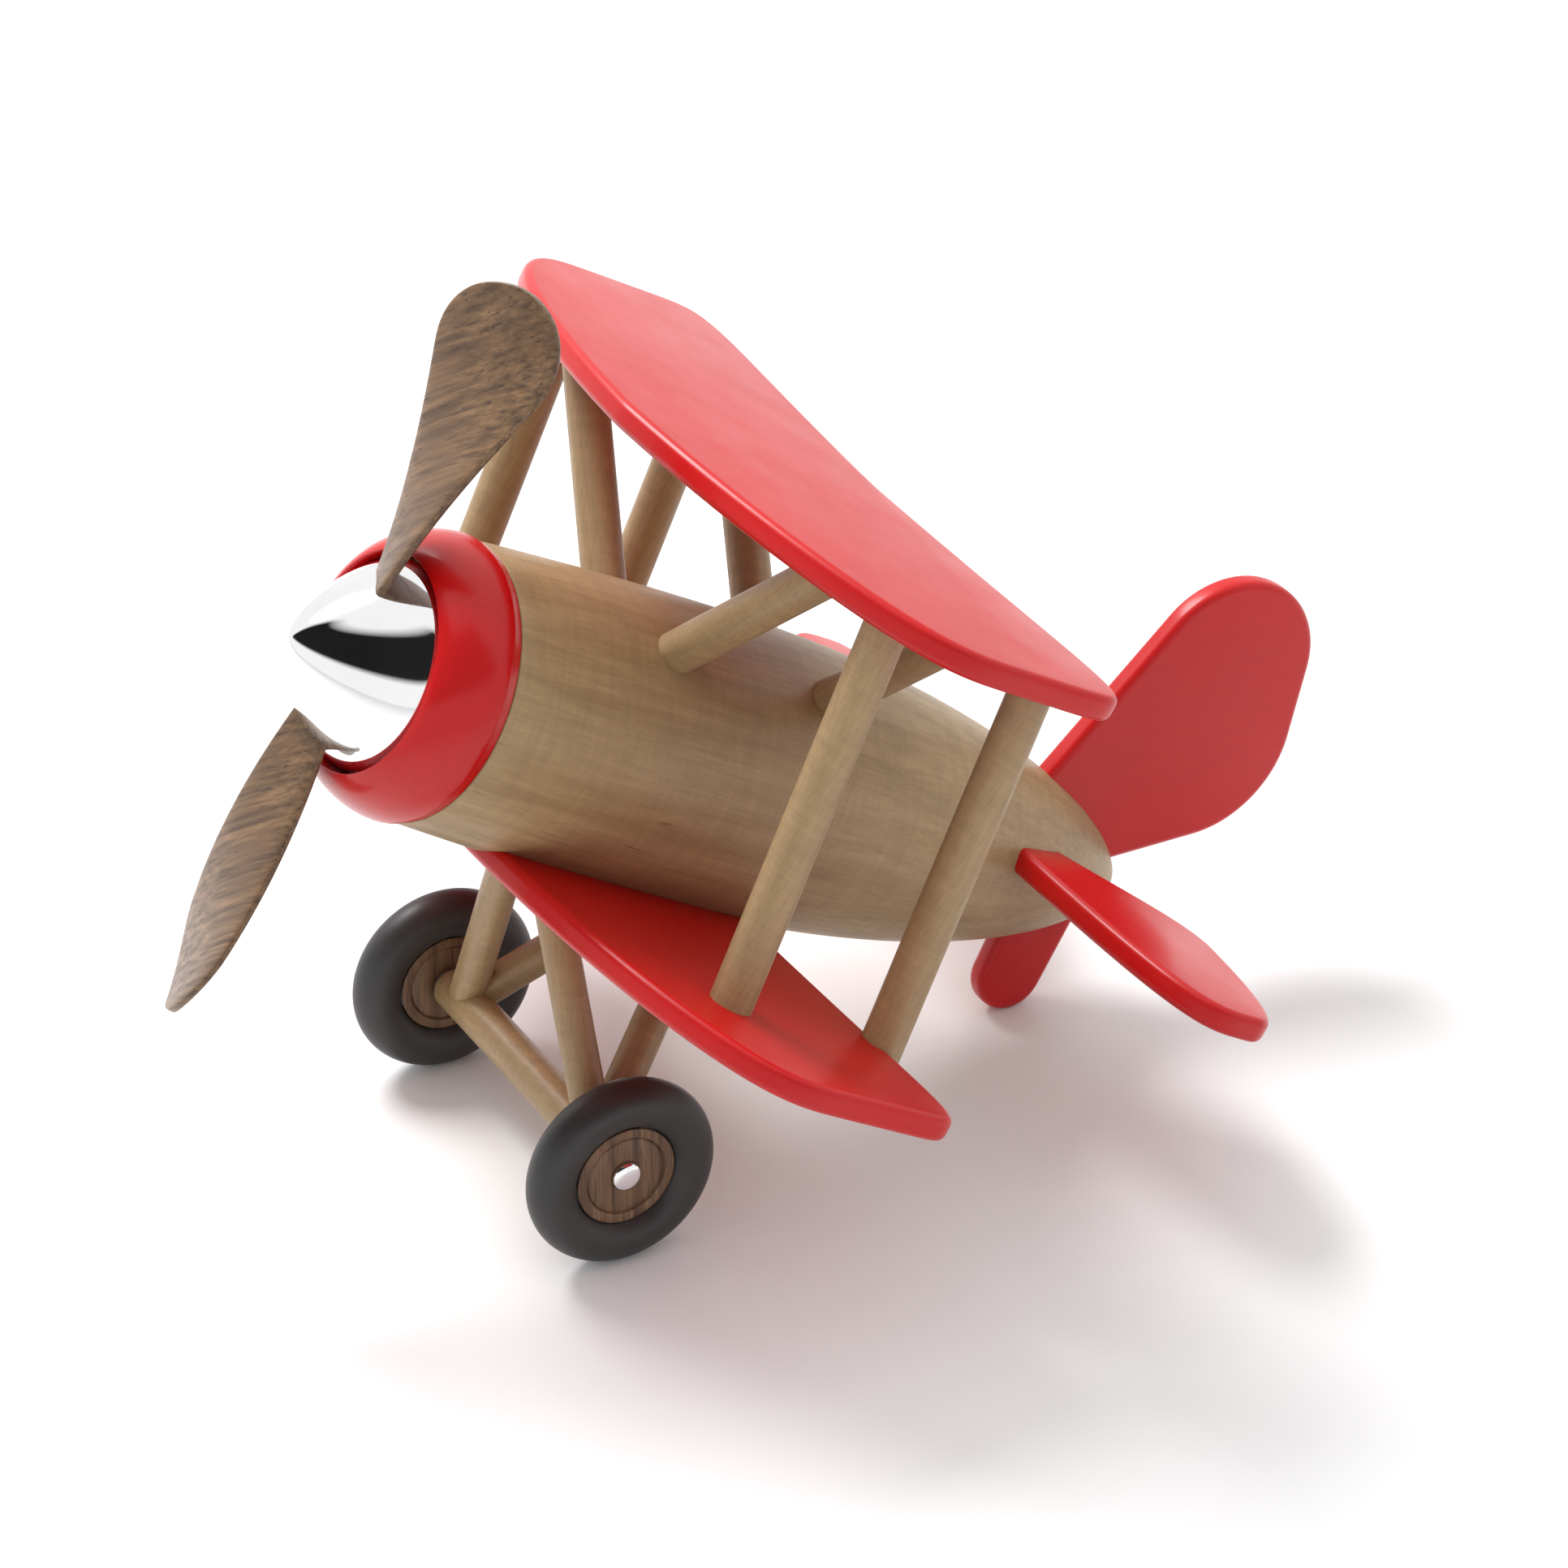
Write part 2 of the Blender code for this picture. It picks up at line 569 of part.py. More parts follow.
def make_wings(fuselage):
    """Both wings. The fuselage is notched right through to its underside, and stands on the lower one."""
    upper = wing_outline(UPPER_PLAN, UPPER_HALF_SPAN, UPPER_LEAD_Y, UPPER_TRAIL_Y)
    lower = wing_outline(LOWER_PLAN, LOWER_HALF_SPAN, LOWER_LEAD_Y, LOWER_TRAIL_Y)
    tilt = (0, UPPER_WING_ROLL, 0)
    upper_wing = board("upper_wing", upper, (0, 0, UPPER_WING_TOP - BOARD / 2), tilt)
    lower_wing = board("lower_wing", lower, (0, 0, LOWER_WING_TOP - BOARD / 2))
    bottom = FUSELAGE_Z - FUSELAGE_RADIUS - GAP
    depth = LOWER_WING_TOP + GAP - bottom
    notch = as_cutter(slab("wing_notch", grown(lower, GAP), depth), AIRFRAME)
    notch.location.z = bottom + depth / 2
    cut(fuselage, notch)
    return upper_wing, lower_wing


def make_tail(fuselage):
    """Fin and skid on the centre line and a stabilizer half on each side, each let into the fuselage."""
    board("fin", fin_outline(), (0, 0, 0), UPRIGHT, fuselage)

    height = (SKID_RADIUS - WHEEL_RADIUS + SKID_Y * math.sin(PITCH)) / math.cos(PITCH)
    ground = PITCH - math.pi / 2  # the way to the ground from the middle of the skid's round end
    outline = arc((SKID_Y, height), SKID_RADIUS, -math.pi, ground, SKID_STEPS[0])
    outline += arc((SKID_Y, height), SKID_RADIUS, ground, 0, SKID_STEPS[1])[1:]
    outline.append(Vector((SKID_Y + SKID_RADIUS, SKID_TOP)))
    outline.append(Vector((SKID_Y - SKID_ROOT * SKID_RADIUS, SKID_TOP)))
    board("tail_skid", outline, (0, 0, 0), UPRIGHT, fuselage)

    outline = stabilizer_outline()
    for side, word in SIDES:
        points = outline if side > 0 else [Vector((-p.x, p.y)) for p in reversed(outline)]
        board(f"stabilizer_{word}", points, (0, 0, STABILIZER_TOP - BOARD / 2), let_into=fuselage)


# ---------------------------------------------------------------- struts and pegs


def dowel(name, start, end, radius, sockets, **planes):
    """A dowel along a line, and a hole for it in each piece that it enters."""
    piece = as_part(cylinder(name, start, end, radius, COARSE, **planes), AIRFRAME, WOOD)
    along = (Vector(end) - Vector(start)).normalized() * GAP
    shifts = {"start_plane": -GAP, "end_plane": GAP}
    hole = cylinder(
        name + "_hole",
        Vector(start) - along,
        Vector(end) + along,
        radius + GAP,
        COARSE,
        **{key: height + shifts[key] for key, height in planes.items()},
    )
    as_cutter(hole, AIRFRAME)
    for other in sockets:
        cut(other, hole)
    return piece


def upper_underside(x):
    """Height of the upper wing's underside at a distance from the centre line."""
    return UPPER_WING_TOP - BOARD - x * math.tan(UPPER_WING_ROLL)


def make_struts(upper_wing, lower_wing, fuselage):
    foot = LOWER_WING_TOP - SOCKET_DEPTH
    for side, word in SIDES:
        head = upper_underside(side * STRUT_X) + SOCKET_DEPTH
        for place, line_y in (("front", FRONT_STRUT_Y), ("rear", REAR_STRUT_Y)):
            start = (side * STRUT_X, line_y - STRUT_LEAN * foot, foot)
            end = (side * STRUT_X, line_y - STRUT_LEAN * head, head)
            name = f"wing_strut_{place}_{word}"
            dowel(name, start, end, STRUT_RADIUS, (lower_wing, upper_wing), start_plane=foot, end_plane=head)
        underside = upper_underside(side * CABANE_TOP_X)
        head = underside + SOCKET_DEPTH
        for place, line_y in (("front", FRONT_CABANE_Y), ("rear", REAR_CABANE_Y)):
            top = Vector((side * CABANE_TOP_X, line_y - STRUT_LEAN * underside, underside))
            along = Vector((side * CABANE_SPLAY, -STRUT_LEAN, 1))
            end = top + along * SOCKET_DEPTH
            start = cabane_foot(top, along)
            name = f"cabane_strut_{place}_{word}"
            dowel(name, start, end, STRUT_RADIUS, (fuselage, upper_wing), end_plane=head)


def cabane_foot(top, along):
    """Walks down the strut's line to where it enters the fuselage, then on by the socket's depth."""
    direction = along.normalized()
    point = top.copy()
    while math.hypot(point.x, point.z - FUSELAGE_Z) > fuselage_radius(point.y):
        point -= direction * MARCH
    return point - direction * CABANE_DEPTH


def make_wing_pegs(fuselage, lower_wing):
    start_z = LOWER_WING_TOP - WING_PEG_DEPTH
    for word, y in zip(("front", "rear"), WING_PEG_YS):
        start, end = (0, y, start_z), (0, y, start_z + WING_PEG_LENGTH)
        dowel(f"wing_peg_{word}", start, end, WING_PEG_RADIUS, (fuselage, lower_wing))


# ---------------------------------------------------------------- landing gear


def beyond_plane(name, point, normal, size):
    """A block on the far side of a plane, for trimming what crosses it."""
    bm = bmesh.new()
    bmesh.ops.create_cube(bm, size=size)
    normal = Vector(normal).normalized()
    turn = normal.to_track_quat("Z", "Y").to_matrix().to_4x4()
    bm.transform(Matrix.Translation(Vector(point) + normal * size / 2) @ turn)
    return as_cutter(object_from(name, bm), AIRFRAME)


def make_legs(fuselage, lower_wing):
    underside = LOWER_WING_TOP - BOARD
    head = underside + LEG_SOCKET_DEPTH
    around_beam = as_cutter(
        cylinder("beam_clearance", (-HALF_TRACK, 0, 0), (HALF_TRACK, 0, 0), BEAM_RADIUS + GAP, MEDIUM),
        AIRFRAME,
    )
    for side, word in SIDES:
        foot = Vector((side * LEG_FOOT_X, 0, 0))
        ways = {}
        for place, top_y in (("front", FRONT_LEG_TOP_Y), ("rear", REAR_LEG_TOP_Y)):
            ways[place] = Vector((side * LEG_TOP_X, top_y, underside)) - foot
        split = (ways["front"].normalized() - ways["rear"].normalized()).normalized()
        for place, sign in (("front", 1), ("rear", -1)):
            end = foot + ways[place] * (head / underside)
            name = f"landing_leg_{place}_{word}"
            leg = dowel(name, foot, end, LEG_RADIUS, (lower_wing, fuselage), end_plane=head)
            cut(leg, around_beam)
            point = foot + split * sign * GAP / 2
            cut(leg, beyond_plane(name + "_trim", point, -sign * split, 2 * LEG_FOOT_X))


def make_axle():
    beam_end = HALF_TRACK - HUB_HALF_WIDTH - BEAM_TO_HUB
    beam = cylinder("axle_beam", (-beam_end, 0, 0), (beam_end, 0, 0), BEAM_RADIUS, MEDIUM)
    as_part(beam, AIRFRAME, WOOD)
    head_x = HALF_TRACK + HUB_HALF_WIDTH - HUB_RECESS + RUN
    tip_x = beam_end - AXLE_PIN_DEPTH
    for side, word in SIDES:
        profile = []
        for step in range(PIN_HEAD_STEPS):
            angle = math.pi / 2 * step / PIN_HEAD_STEPS
            profile.append((AXLE_HEAD_RADIUS * math.sin(angle), AXLE_HEAD_HEIGHT * math.cos(angle)))
        profile += [(AXLE_HEAD_RADIUS, 0), (AXLE_PIN_RADIUS, 0), (AXLE_PIN_RADIUS, tip_x - head_x)]
        profile.append((0, tip_x - head_x))
        pin = as_part(turned(f"axle_pin_{word}", profile, COARSE), AIRFRAME, CHROME)
        pin.location = (side * head_x, 0, 0)
        pin.rotation_euler = SIDEWAYS[side]
        hole = cylinder(
            f"axle_pin_{word}_hole",
            (side * (tip_x - GAP), 0, 0),
            (side * (beam_end + MM), 0, 0),
            AXLE_PIN_RADIUS + GAP,
            COARSE,
        )
        cut(beam, as_cutter(hole, AIRFRAME))
        bore = AXLE_PIN_RADIUS + RUN
        profile = [(bore, WASHER_THICKNESS), (WASHER_RADIUS, WASHER_THICKNESS), (WASHER_RADIUS, 0), (bore, 0)]
        washer = turned(f"wheel_washer_{word}", profile, COARSE, closed=True)
        as_part(washer, AIRFRAME, STEEL)
        washer.location = (side * (beam_end + GAP), 0, 0)
        washer.rotation_euler = SIDEWAYS[side]


def hub_profile():
    """Half the hub's section: bore, flat disc, groove, raised rim and the seat that the tyre sits in."""
    bore = AXLE_PIN_RADIUS + RUN
    tyre_ring = WHEEL_RADIUS - TYRE_SECTION
    seat = TYRE_SECTION + GAP
    lip = HUB_HALF_WIDTH - HUB_RECESS
    edge = tyre_ring - math.sqrt(seat**2 - lip**2)
    rim_inner = edge - HUB_RIM
    face = [(bore, lip), (rim_inner - HUB_GROOVE, lip), (rim_inner - HUB_GROOVE, lip - HUB_RECESS)]
    face += [(rim_inner, lip - HUB_RECESS), (rim_inner, lip), (rim_inner + HUB_RECESS, HUB_HALF_WIDTH)]
    face += [(edge - HUB_RECESS, HUB_HALF_WIDTH), (edge, lip)]
    seat_curve = []
    for step in range(1, 2 * HUB_SEAT_STEPS):
        height = lip * (1 - step / HUB_SEAT_STEPS)
        seat_curve.append((tyre_ring - math.sqrt(seat**2 - height**2), height))
    return face + seat_curve + [(radius, -height) for radius, height in reversed(face)]


def make_wheels():
    for side, word in SIDES:
        hub = as_part(turned(f"wheel_hub_{word}", hub_profile(), FINE, closed=True), WHEELS[side], WALNUT)
        hub.rotation_euler = SIDEWAYS[side]
        bpy.ops.mesh.primitive_torus_add(
            major_segments=FINE,
            minor_segments=TYRE_SECTION_FACETS,
            major_radius=WHEEL_RADIUS - TYRE_SECTION,
            minor_radius=TYRE_SECTION,
        )
        tyre = bpy.context.object
        for collection in list(tyre.users_collection):
            collection.objects.unlink(tyre)
        tyre.name = f"tyre_{word}"
        smooth(as_part(tyre, WHEELS[side], RUBBER), SHARP_BOARD)
        tyre.rotation_euler = SIDEWAYS[side]


def stand_on_ground():
    """Moves the whole model so that the middle of the bottom of its box is the world's origin."""
    bpy.context.view_layer.update()
    graph = bpy.context.evaluated_depsgraph_get()
    corners = []
    for obj in PARTS.objects:
        if obj.type == "MESH":
            solid = obj.evaluated_get(graph)
            corners += [solid.matrix_world @ vertex.co for vertex in solid.data.vertices]
    front, back = min(point.y for point in corners), max(point.y for point in corners)
    AIRFRAME.location.y -= (front + back) / 2
    AIRFRAME.location.z -= min(point.z for point in corners)


def main():
    fuselage = make_fuselage()
    make_cowl_ring()
    make_propeller()
    make_propeller_mounting(fuselage)
    upper_wing, lower_wing = make_wings(fuselage)
    make_tail(fuselage)
    make_struts(upper_wing, lower_wing, fuselage)
    make_wing_pegs(fuselage, lower_wing)
    make_legs(fuselage, lower_wing)
    make_axle()
    make_wheels()
    stand_on_ground()


main()
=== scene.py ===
import json
import math

import bmesh
import bpy
from mathutils import Matrix, Vector, geometry

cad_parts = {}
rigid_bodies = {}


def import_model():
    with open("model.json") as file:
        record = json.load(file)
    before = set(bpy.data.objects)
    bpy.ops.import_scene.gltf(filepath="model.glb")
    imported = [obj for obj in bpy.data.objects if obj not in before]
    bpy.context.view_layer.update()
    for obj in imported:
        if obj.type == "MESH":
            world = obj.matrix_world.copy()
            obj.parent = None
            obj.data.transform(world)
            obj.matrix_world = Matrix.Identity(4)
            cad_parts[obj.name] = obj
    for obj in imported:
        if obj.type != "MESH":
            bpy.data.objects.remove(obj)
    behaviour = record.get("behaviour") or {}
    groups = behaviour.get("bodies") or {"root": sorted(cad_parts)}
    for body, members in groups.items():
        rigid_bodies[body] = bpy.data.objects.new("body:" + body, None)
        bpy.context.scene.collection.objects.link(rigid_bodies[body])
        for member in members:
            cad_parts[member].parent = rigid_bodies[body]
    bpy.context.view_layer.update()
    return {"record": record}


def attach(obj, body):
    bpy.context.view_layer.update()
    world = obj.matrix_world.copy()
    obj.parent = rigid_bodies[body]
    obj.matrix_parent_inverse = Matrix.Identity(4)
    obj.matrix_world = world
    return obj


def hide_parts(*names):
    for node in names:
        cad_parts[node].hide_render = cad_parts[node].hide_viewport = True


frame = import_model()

JOINTS = {joint["name"]: joint for joint in frame["record"]["behaviour"]["joints"]}
MM = 0.001

# Sizes of the model, in its own axes: +X left wing tip, +Y aft, +Z up through the wings
GAP = 0.3 * MM
# Wheels and axle
WHEEL_RADIUS = 22.5 * MM
TYRE_SECTION = 5.5 * MM
HUB_HALF_WIDTH = 3.2 * MM
HUB_RIM = 2.3 * MM
HUB_RECESS = 0.4 * MM
HUB_GROOVE = 0.5 * MM
BEAM_RADIUS = 4.9 * MM
BEAM_TO_HUB = 2.0 * MM
AXLE_PIN_RADIUS = 1.6 * MM
AXLE_PIN_DEPTH = 16.0 * MM
AXLE_HEAD_RADIUS = 3.5 * MM
AXLE_HEAD_HEIGHT = 1.4 * MM
# Fuselage, a turned body about an axis parallel to Y
FUSELAGE_Z = 81.5 * MM
FUSELAGE_RADIUS = 33.2 * MM
FUSELAGE_WIDEST_Y = -4.0 * MM
FUSELAGE_FRONT_Y = -73.4 * MM
FUSELAGE_TAIL_Y = 128.0 * MM
NOSE_RADIUS = 31.3 * MM
TAIL_POWERS = (2.1, 0.58)
# Cowl ring round the nose
COWL_FRONT_Y = -90.5 * MM
COWL_INNER_RADIUS = 24.3 * MM
COWL_OUTER_RADIUS = 32.1 * MM
COWL_BULGE = 3.0 * MM
COWL_FULLNESS = 1.65
SPIGOT_LENGTH = 11.0 * MM
# Propeller
SPINNER_BASE_Y = -88.0 * MM
SPINNER_TIP_Y = -110.5 * MM
SPINNER_RADIUS = 23.4 * MM
SPINNER_WALL = 1.6 * MM
SPINNER_POWERS = (1.15, 0.65)
BLADE_Y = -96.0 * MM
BLADE_LENGTH = 86.9 * MM
BLADE_TIP_RADIUS = 16.4 * MM
BLADE_ROOT = 4.8 * MM
BLADE_ROOT_HALF_WIDTH = 2.9 * MM
BLADE_THICKNESS = 2.4 * MM
BLADE_TWIST_ROOT = math.radians(-32.0)
BLADE_TWIST_TIP = math.radians(30.0)
PROP_HUB_FRONT = 7.0 * MM
# Boards: both wings, fin, stabilizer halves and tail skid
BOARD = 6.0 * MM
BOARD_ROUNDING = 1.9 * MM
UPPER_WING_TOP = 153.2 * MM
UPPER_WING_ROLL = math.radians(1.7)
UPPER_HALF_SPAN = 98.9 * MM
UPPER_LEAD_Y = -60.7 * MM
UPPER_TRAIL_Y = 12.2 * MM
LOWER_WING_TOP = 55.1 * MM
LOWER_HALF_SPAN = 109.1 * MM
LOWER_LEAD_Y = -50.6 * MM
LOWER_TRAIL_Y = 19.5 * MM
# A wing's plan: by the tip its leading edge has swept and its trailing edge has flared this far back, and
# this is where the tip lies, all in chords. The bow is the power of both curves. A corner of 2 is an
# ellipse, and a higher one is squarer.
UPPER_PLAN = dict(sweep=0.19, bow=1.3, flare=0.14, tip=0.64, front_corner=3.0, back_corner=9.0)
LOWER_PLAN = dict(sweep=0.17, bow=1.8, flare=0.08, tip=0.64, front_corner=3.5, back_corner=13.0)
STABILIZER_TOP = 90.7 * MM
STABILIZER_INNER_X = 6.0 * MM
STABILIZER_HALF_SPAN = 96.1 * MM
STABILIZER_LEAD_Y = 78.0 * MM
STABILIZER_CHORD = 36.5 * MM
STABILIZER_ROOT = 0.32
STABILIZER_SWELL = (0.55, 1.12)
STABILIZER_TIP = 0.59
STABILIZER_CORNERS = (4.0, 2.0)
SKID_Y = 114.3 * MM
SKID_RADIUS = 8.8 * MM
SKID_TOP = 73.0 * MM
SKID_ROOT = 1.15
FIN_CROWN = (129.7 * MM, 139.9 * MM)
FIN_CROWN_RADIUS = 22.5 * MM
FIN_HEEL = (130.9 * MM, 121.7 * MM)
FIN_HEEL_RADIUS = 26.5 * MM
FIN_FEET = ((92.0 * MM, 94.7 * MM), (106.2 * MM, 76.9 * MM))
# Dowels
STRUT_RADIUS = 4.9 * MM
LEG_RADIUS = 4.2 * MM
SOCKET_DEPTH = 3.0 * MM
STRUT_X = 74.2 * MM
STRUT_LEAN = 0.115
FRONT_STRUT_Y = -13.7 * MM
REAR_STRUT_Y = 29.5 * MM
CABANE_TOP_X = 56.3 * MM
CABANE_SPLAY = 1.03
CABANE_DEPTH = 7.0 * MM
FRONT_CABANE_Y = -19.2 * MM
REAR_CABANE_Y = 24.8 * MM
LEG_FOOT_X = 32.4 * MM
LEG_TOP_X = 8.0 * MM
FRONT_LEG_TOP_Y = -27.5 * MM
REAR_LEG_TOP_Y = 16.0 * MM
LEG_SOCKET_DEPTH = 2.0 * MM

LEFT_WHEEL, RIGHT_WHEEL = (Vector(JOINTS[f"wheel_{side}_roll"]["pos_m"]) for side in ("left", "right"))
AXLE = (LEFT_WHEEL + RIGHT_WHEEL) / 2
HALF_TRACK = (LEFT_WHEEL - RIGHT_WHEEL).length / 2
BEAM_END = HALF_TRACK - HUB_HALF_WIDTH - BEAM_TO_HUB
NOSE_WAY = Vector(JOINTS["propeller_spin"]["axis"])
PITCH = math.atan2(NOSE_WAY.z, -NOSE_WAY.y)
AIRFRAME = Matrix.Translation(AXLE) @ Matrix.Rotation(-PITCH, 4, "X")
SIDES = ((1, "left"), (-1, "right"))

# Fineness of the meshes
LARGE_TURNING = 160
HUB_TURNING = 144
CAP_TURNING = 72
NOSE_STEPS = 16
TAIL_STEPS = 64
COWL_STEPS = (3, 28)  # the first steps are left to the lip
COWL_BACK_STEPS = 6
SPINNER_STEPS = 40
SPINNER_INNER_STEPS = 8
BLADE_STEPS = 30
BLADE_TIP_STEPS = 26
BLADE_SIDES = 40
CORNER_STEPS = 28
EDGE_STEPS = 16
FIN_STEPS = 120
SKID_STEPS = (20, 14)
OUTLINE_SPACING = 1.2 * MM
FEWEST_OUTLINE_POINTS = 24
ROUNDING_STEPS = 6
DOWEL_SIDES = 64
DOWEL_RINGS = 24
CAP_STEPS = 16
HUB_RIM_STEPS = 12
HUB_SEAT_STEPS = 10
TYRE_STEPS = 48

# Edges that turn by more than this many degrees are shaded as creases
CREASE = 40.0
BOARD_CREASE = 30.0
DOWEL_CREASE = 50.0
BLADE_CREASE = 50.0
HUB_CREASE = 55.0

# Small roundings. The points are shares of the easing: how far from the corner, inward and back.
EASE = 0.5 * MM
NOSE_EASE = ((0.8, 0.0), (0.2, 0.3))
COWL_LIP = ((0.0, 2.0), (0.15, 0.5), (0.5, 0.1))
COWL_BACK_TURN = math.radians(35)
COWL_BACK_EASE = 0.3 * MM
DOWEL_EASE = 0.35 * MM
BORE_EASE = (0.3 * MM, 0.2 * MM)

# Powers that make a curve fuller than a circle's
BLADE_FULLNESS = (0.55, 0.45)  # across the blade, and through it
BLADE_TIP_THINNING = 0.75
CAP_FULLNESS = 0.8
HUB_RIM_FULLNESS = 0.6

LOOP_REACH = 12  # the most outline points that a loop can span
SAME_SPOT = 0.005 * MM
CABANE_SEARCH_STEP = 0.25 * MM
LEG_START = 0.5  # of the beam's radius, from its centre line
DOWEL_FIGURE_SLANT = math.radians(14)

# ---------------------------------------------------------------- camera

CAMERA_AT = (0.94886, -0.46330 + AXLE.y, 0.74374)
CAMERA_TILT = 31.489  # degrees below level
CAMERA_TURN = 60.874
LENS = 130.55
SENSOR = 36
FARTHEST = 100

camera = bpy.data.objects.new("camera", bpy.data.cameras.new("camera"))
bpy.context.scene.collection.objects.link(camera)
camera.location = CAMERA_AT
camera.rotation_euler = (math.radians(90 - CAMERA_TILT), 0, math.radians(CAMERA_TURN))
camera.data.lens = LENS
camera.data.sensor_width = SENSOR
camera.data.clip_end = FARTHEST
bpy.context.scene.camera = camera


# ---------------------------------------------------------------- material kit

MIX_SHARE, MIX_FIRST, MIX_SECOND, MIX_RESULT = 0, 6, 7, 2  # a mix node's sockets for colours


def set_stops(ramp, stops):
    """Gives a colour ramp its stops, each a place and a grey or a colour."""
    while len(ramp.elements) < len(stops):
        ramp.elements.new(0.5)
    for element, (place, colour) in zip(ramp.elements, stops):
        element.position = place
        element.color = (*colour, 1) if isinstance(colour, tuple) else (colour, colour, colour, 1)


class Graph:
    """A material's node tree, with one short call for each node."""

    def __init__(self, name):
        self.material = bpy.data.materials.new(name)
        self.material.use_nodes = True
        self.tree = self.material.node_tree
        self.shader = self.tree.nodes["Principled BSDF"]

    def put(self, kind, inputs=(), **settings):
        node = self.tree.nodes.new(kind)
        for key, value in settings.items():
            setattr(node, key, value)
        for key, value in dict(inputs).items():
            self.wire(value, node.inputs[key])
        return node

    def wire(self, value, socket):
        if isinstance(value, bpy.types.NodeSocket):
            self.tree.links.new(value, socket)
        else:
            socket.default_value = value

    def place(self, scale, shift=(0, 0, 0), turn=(0, 0, 0)):
        """Coordinates fixed to the piece, turned so that its grain runs along Z, then scaled."""
        coordinates = self.put("ShaderNodeTexCoord").outputs["Object"]
        turned = self.put("ShaderNodeMapping", {"Vector": coordinates, "Rotation": turn}).outputs[0]
        return self.put("ShaderNodeMapping", {"Vector": turned, "Location": shift, "Scale": scale}).outputs[0]

    def noise(self, vector, detail=4.0, rough=0.55, bend=0.0):
        inputs = {"Vector": vector, "Scale": 1.0, "Detail": detail, "Roughness": rough, "Distortion": bend}
        return self.put("ShaderNodeTexNoise", inputs).outputs["Fac"]

    def ramp(self, value, stops):
        node = self.put("ShaderNodeValToRGB", {"Fac": value})
        set_stops(node.color_ramp, stops)
        return node.outputs["Color"]

    def span(self, value, low, high, to_low=0.0, to_high=1.0):
        inputs = {"Value": value, "From Min": low, "From Max": high, "To Min": to_low, "To Max": to_high}
        return self.put("ShaderNodeMapRange", inputs).outputs["Result"]

    def mix(self, share, first, second, blend="MIX"):
        node = self.put("ShaderNodeMix", data_type="RGBA", blend_type=blend)
        self.wire(share, node.inputs[MIX_SHARE])
        self.wire(first, node.inputs[MIX_FIRST])
        self.wire(second, node.inputs[MIX_SECOND])
        return node.outputs[MIX_RESULT]

    def maths(self, operation, first, second=0.0):
        node = self.put("ShaderNodeMath", operation=operation)
        self.wire(first, node.inputs[0])
        self.wire(second, node.inputs[1])
        return node.outputs[0]

    def bump(self, height, strength, distance):
        node = self.put("ShaderNodeBump", {"Height": height, "Strength": strength, "Distance": distance})
        self.tree.links.new(node.outputs["Normal"], self.shader.inputs["Normal"])

    def finish(self, colour, roughness, **uniform):
        self.wire(colour, self.shader.inputs["Base Color"])
        self.wire(roughness, self.shader.inputs["Roughness"])
        for key, value in uniform.items():
            self.shader.inputs[key.replace("_", " ")].default_value = value
        return self.material


def rgb(red, green, blue):
    """A colour from its 0 to 255 screen values."""
    return tuple(
        value / 12.92 if value <= 0.04045 else ((value + 0.055) / 1.055) ** 2.4
        for value in (red / 255, green / 255, blue / 255)
    )


def light_wood(name, seed, slant=0.0):
    """Waxed pale hardwood: fine fibres along Z, soft mottling, short dark flecks."""
    graph = Graph(name)
    shift = (seed * 3.7, seed * 1.9, seed * 5.3)
    slanted = (slant, 0, 0)
    broad = graph.noise(graph.place((42, 42, 7), shift), 4, 0.6, 0.6)
    band = graph.noise(graph.place((150, 150, 10), shift), 4, 0.55, 0.5)
    fibre = graph.noise(graph.place((1500, 1500, 62), shift, slanted), 3, 0.6, 0.2)
    figure = graph.noise(graph.place((60, 60, 420), shift, slanted), 3, 0.5, 1.2)
    flecks = graph.noise(graph.place((560, 560, 60), shift), 2, 0.5, 0.3)
    pale, mid, dark = rgb(178, 151, 113), rgb(164, 137, 99), rgb(146, 119, 83)
    tone = graph.ramp(band, [(0.30, dark), (0.48, mid), (0.70, pale)])
    tone = graph.mix(graph.span(broad, 0.35, 0.68, 0.0, 0.45), tone, (*rgb(150, 124, 88), 1))
    tone = graph.mix(0.24, tone, graph.ramp(fibre, [(0.32, 0.3), (0.55, 0.52), (0.72, 0.66)]), "OVERLAY")
    tone = graph.mix(0.14, tone, graph.ramp(figure, [(0.35, 0.3), (0.65, 0.7)]), "OVERLAY")
    spot = graph.span(flecks, 0.72, 0.78)
    tone = graph.mix(graph.maths("MULTIPLY", spot, 0.55), tone, (*rgb(98, 74, 52), 1))
    height = graph.maths("SUBTRACT", fibre, graph.maths("MULTIPLY", spot, 0.8))
    graph.bump(height, 0.18, 0.12 * MM)
    rough = graph.span(fibre, 0.3, 0.7, 0.50, 0.40)
    return graph.finish(tone, rough, Specular_IOR_Level=0.4, Coat_Weight=0.12, Coat_Roughness=0.28)


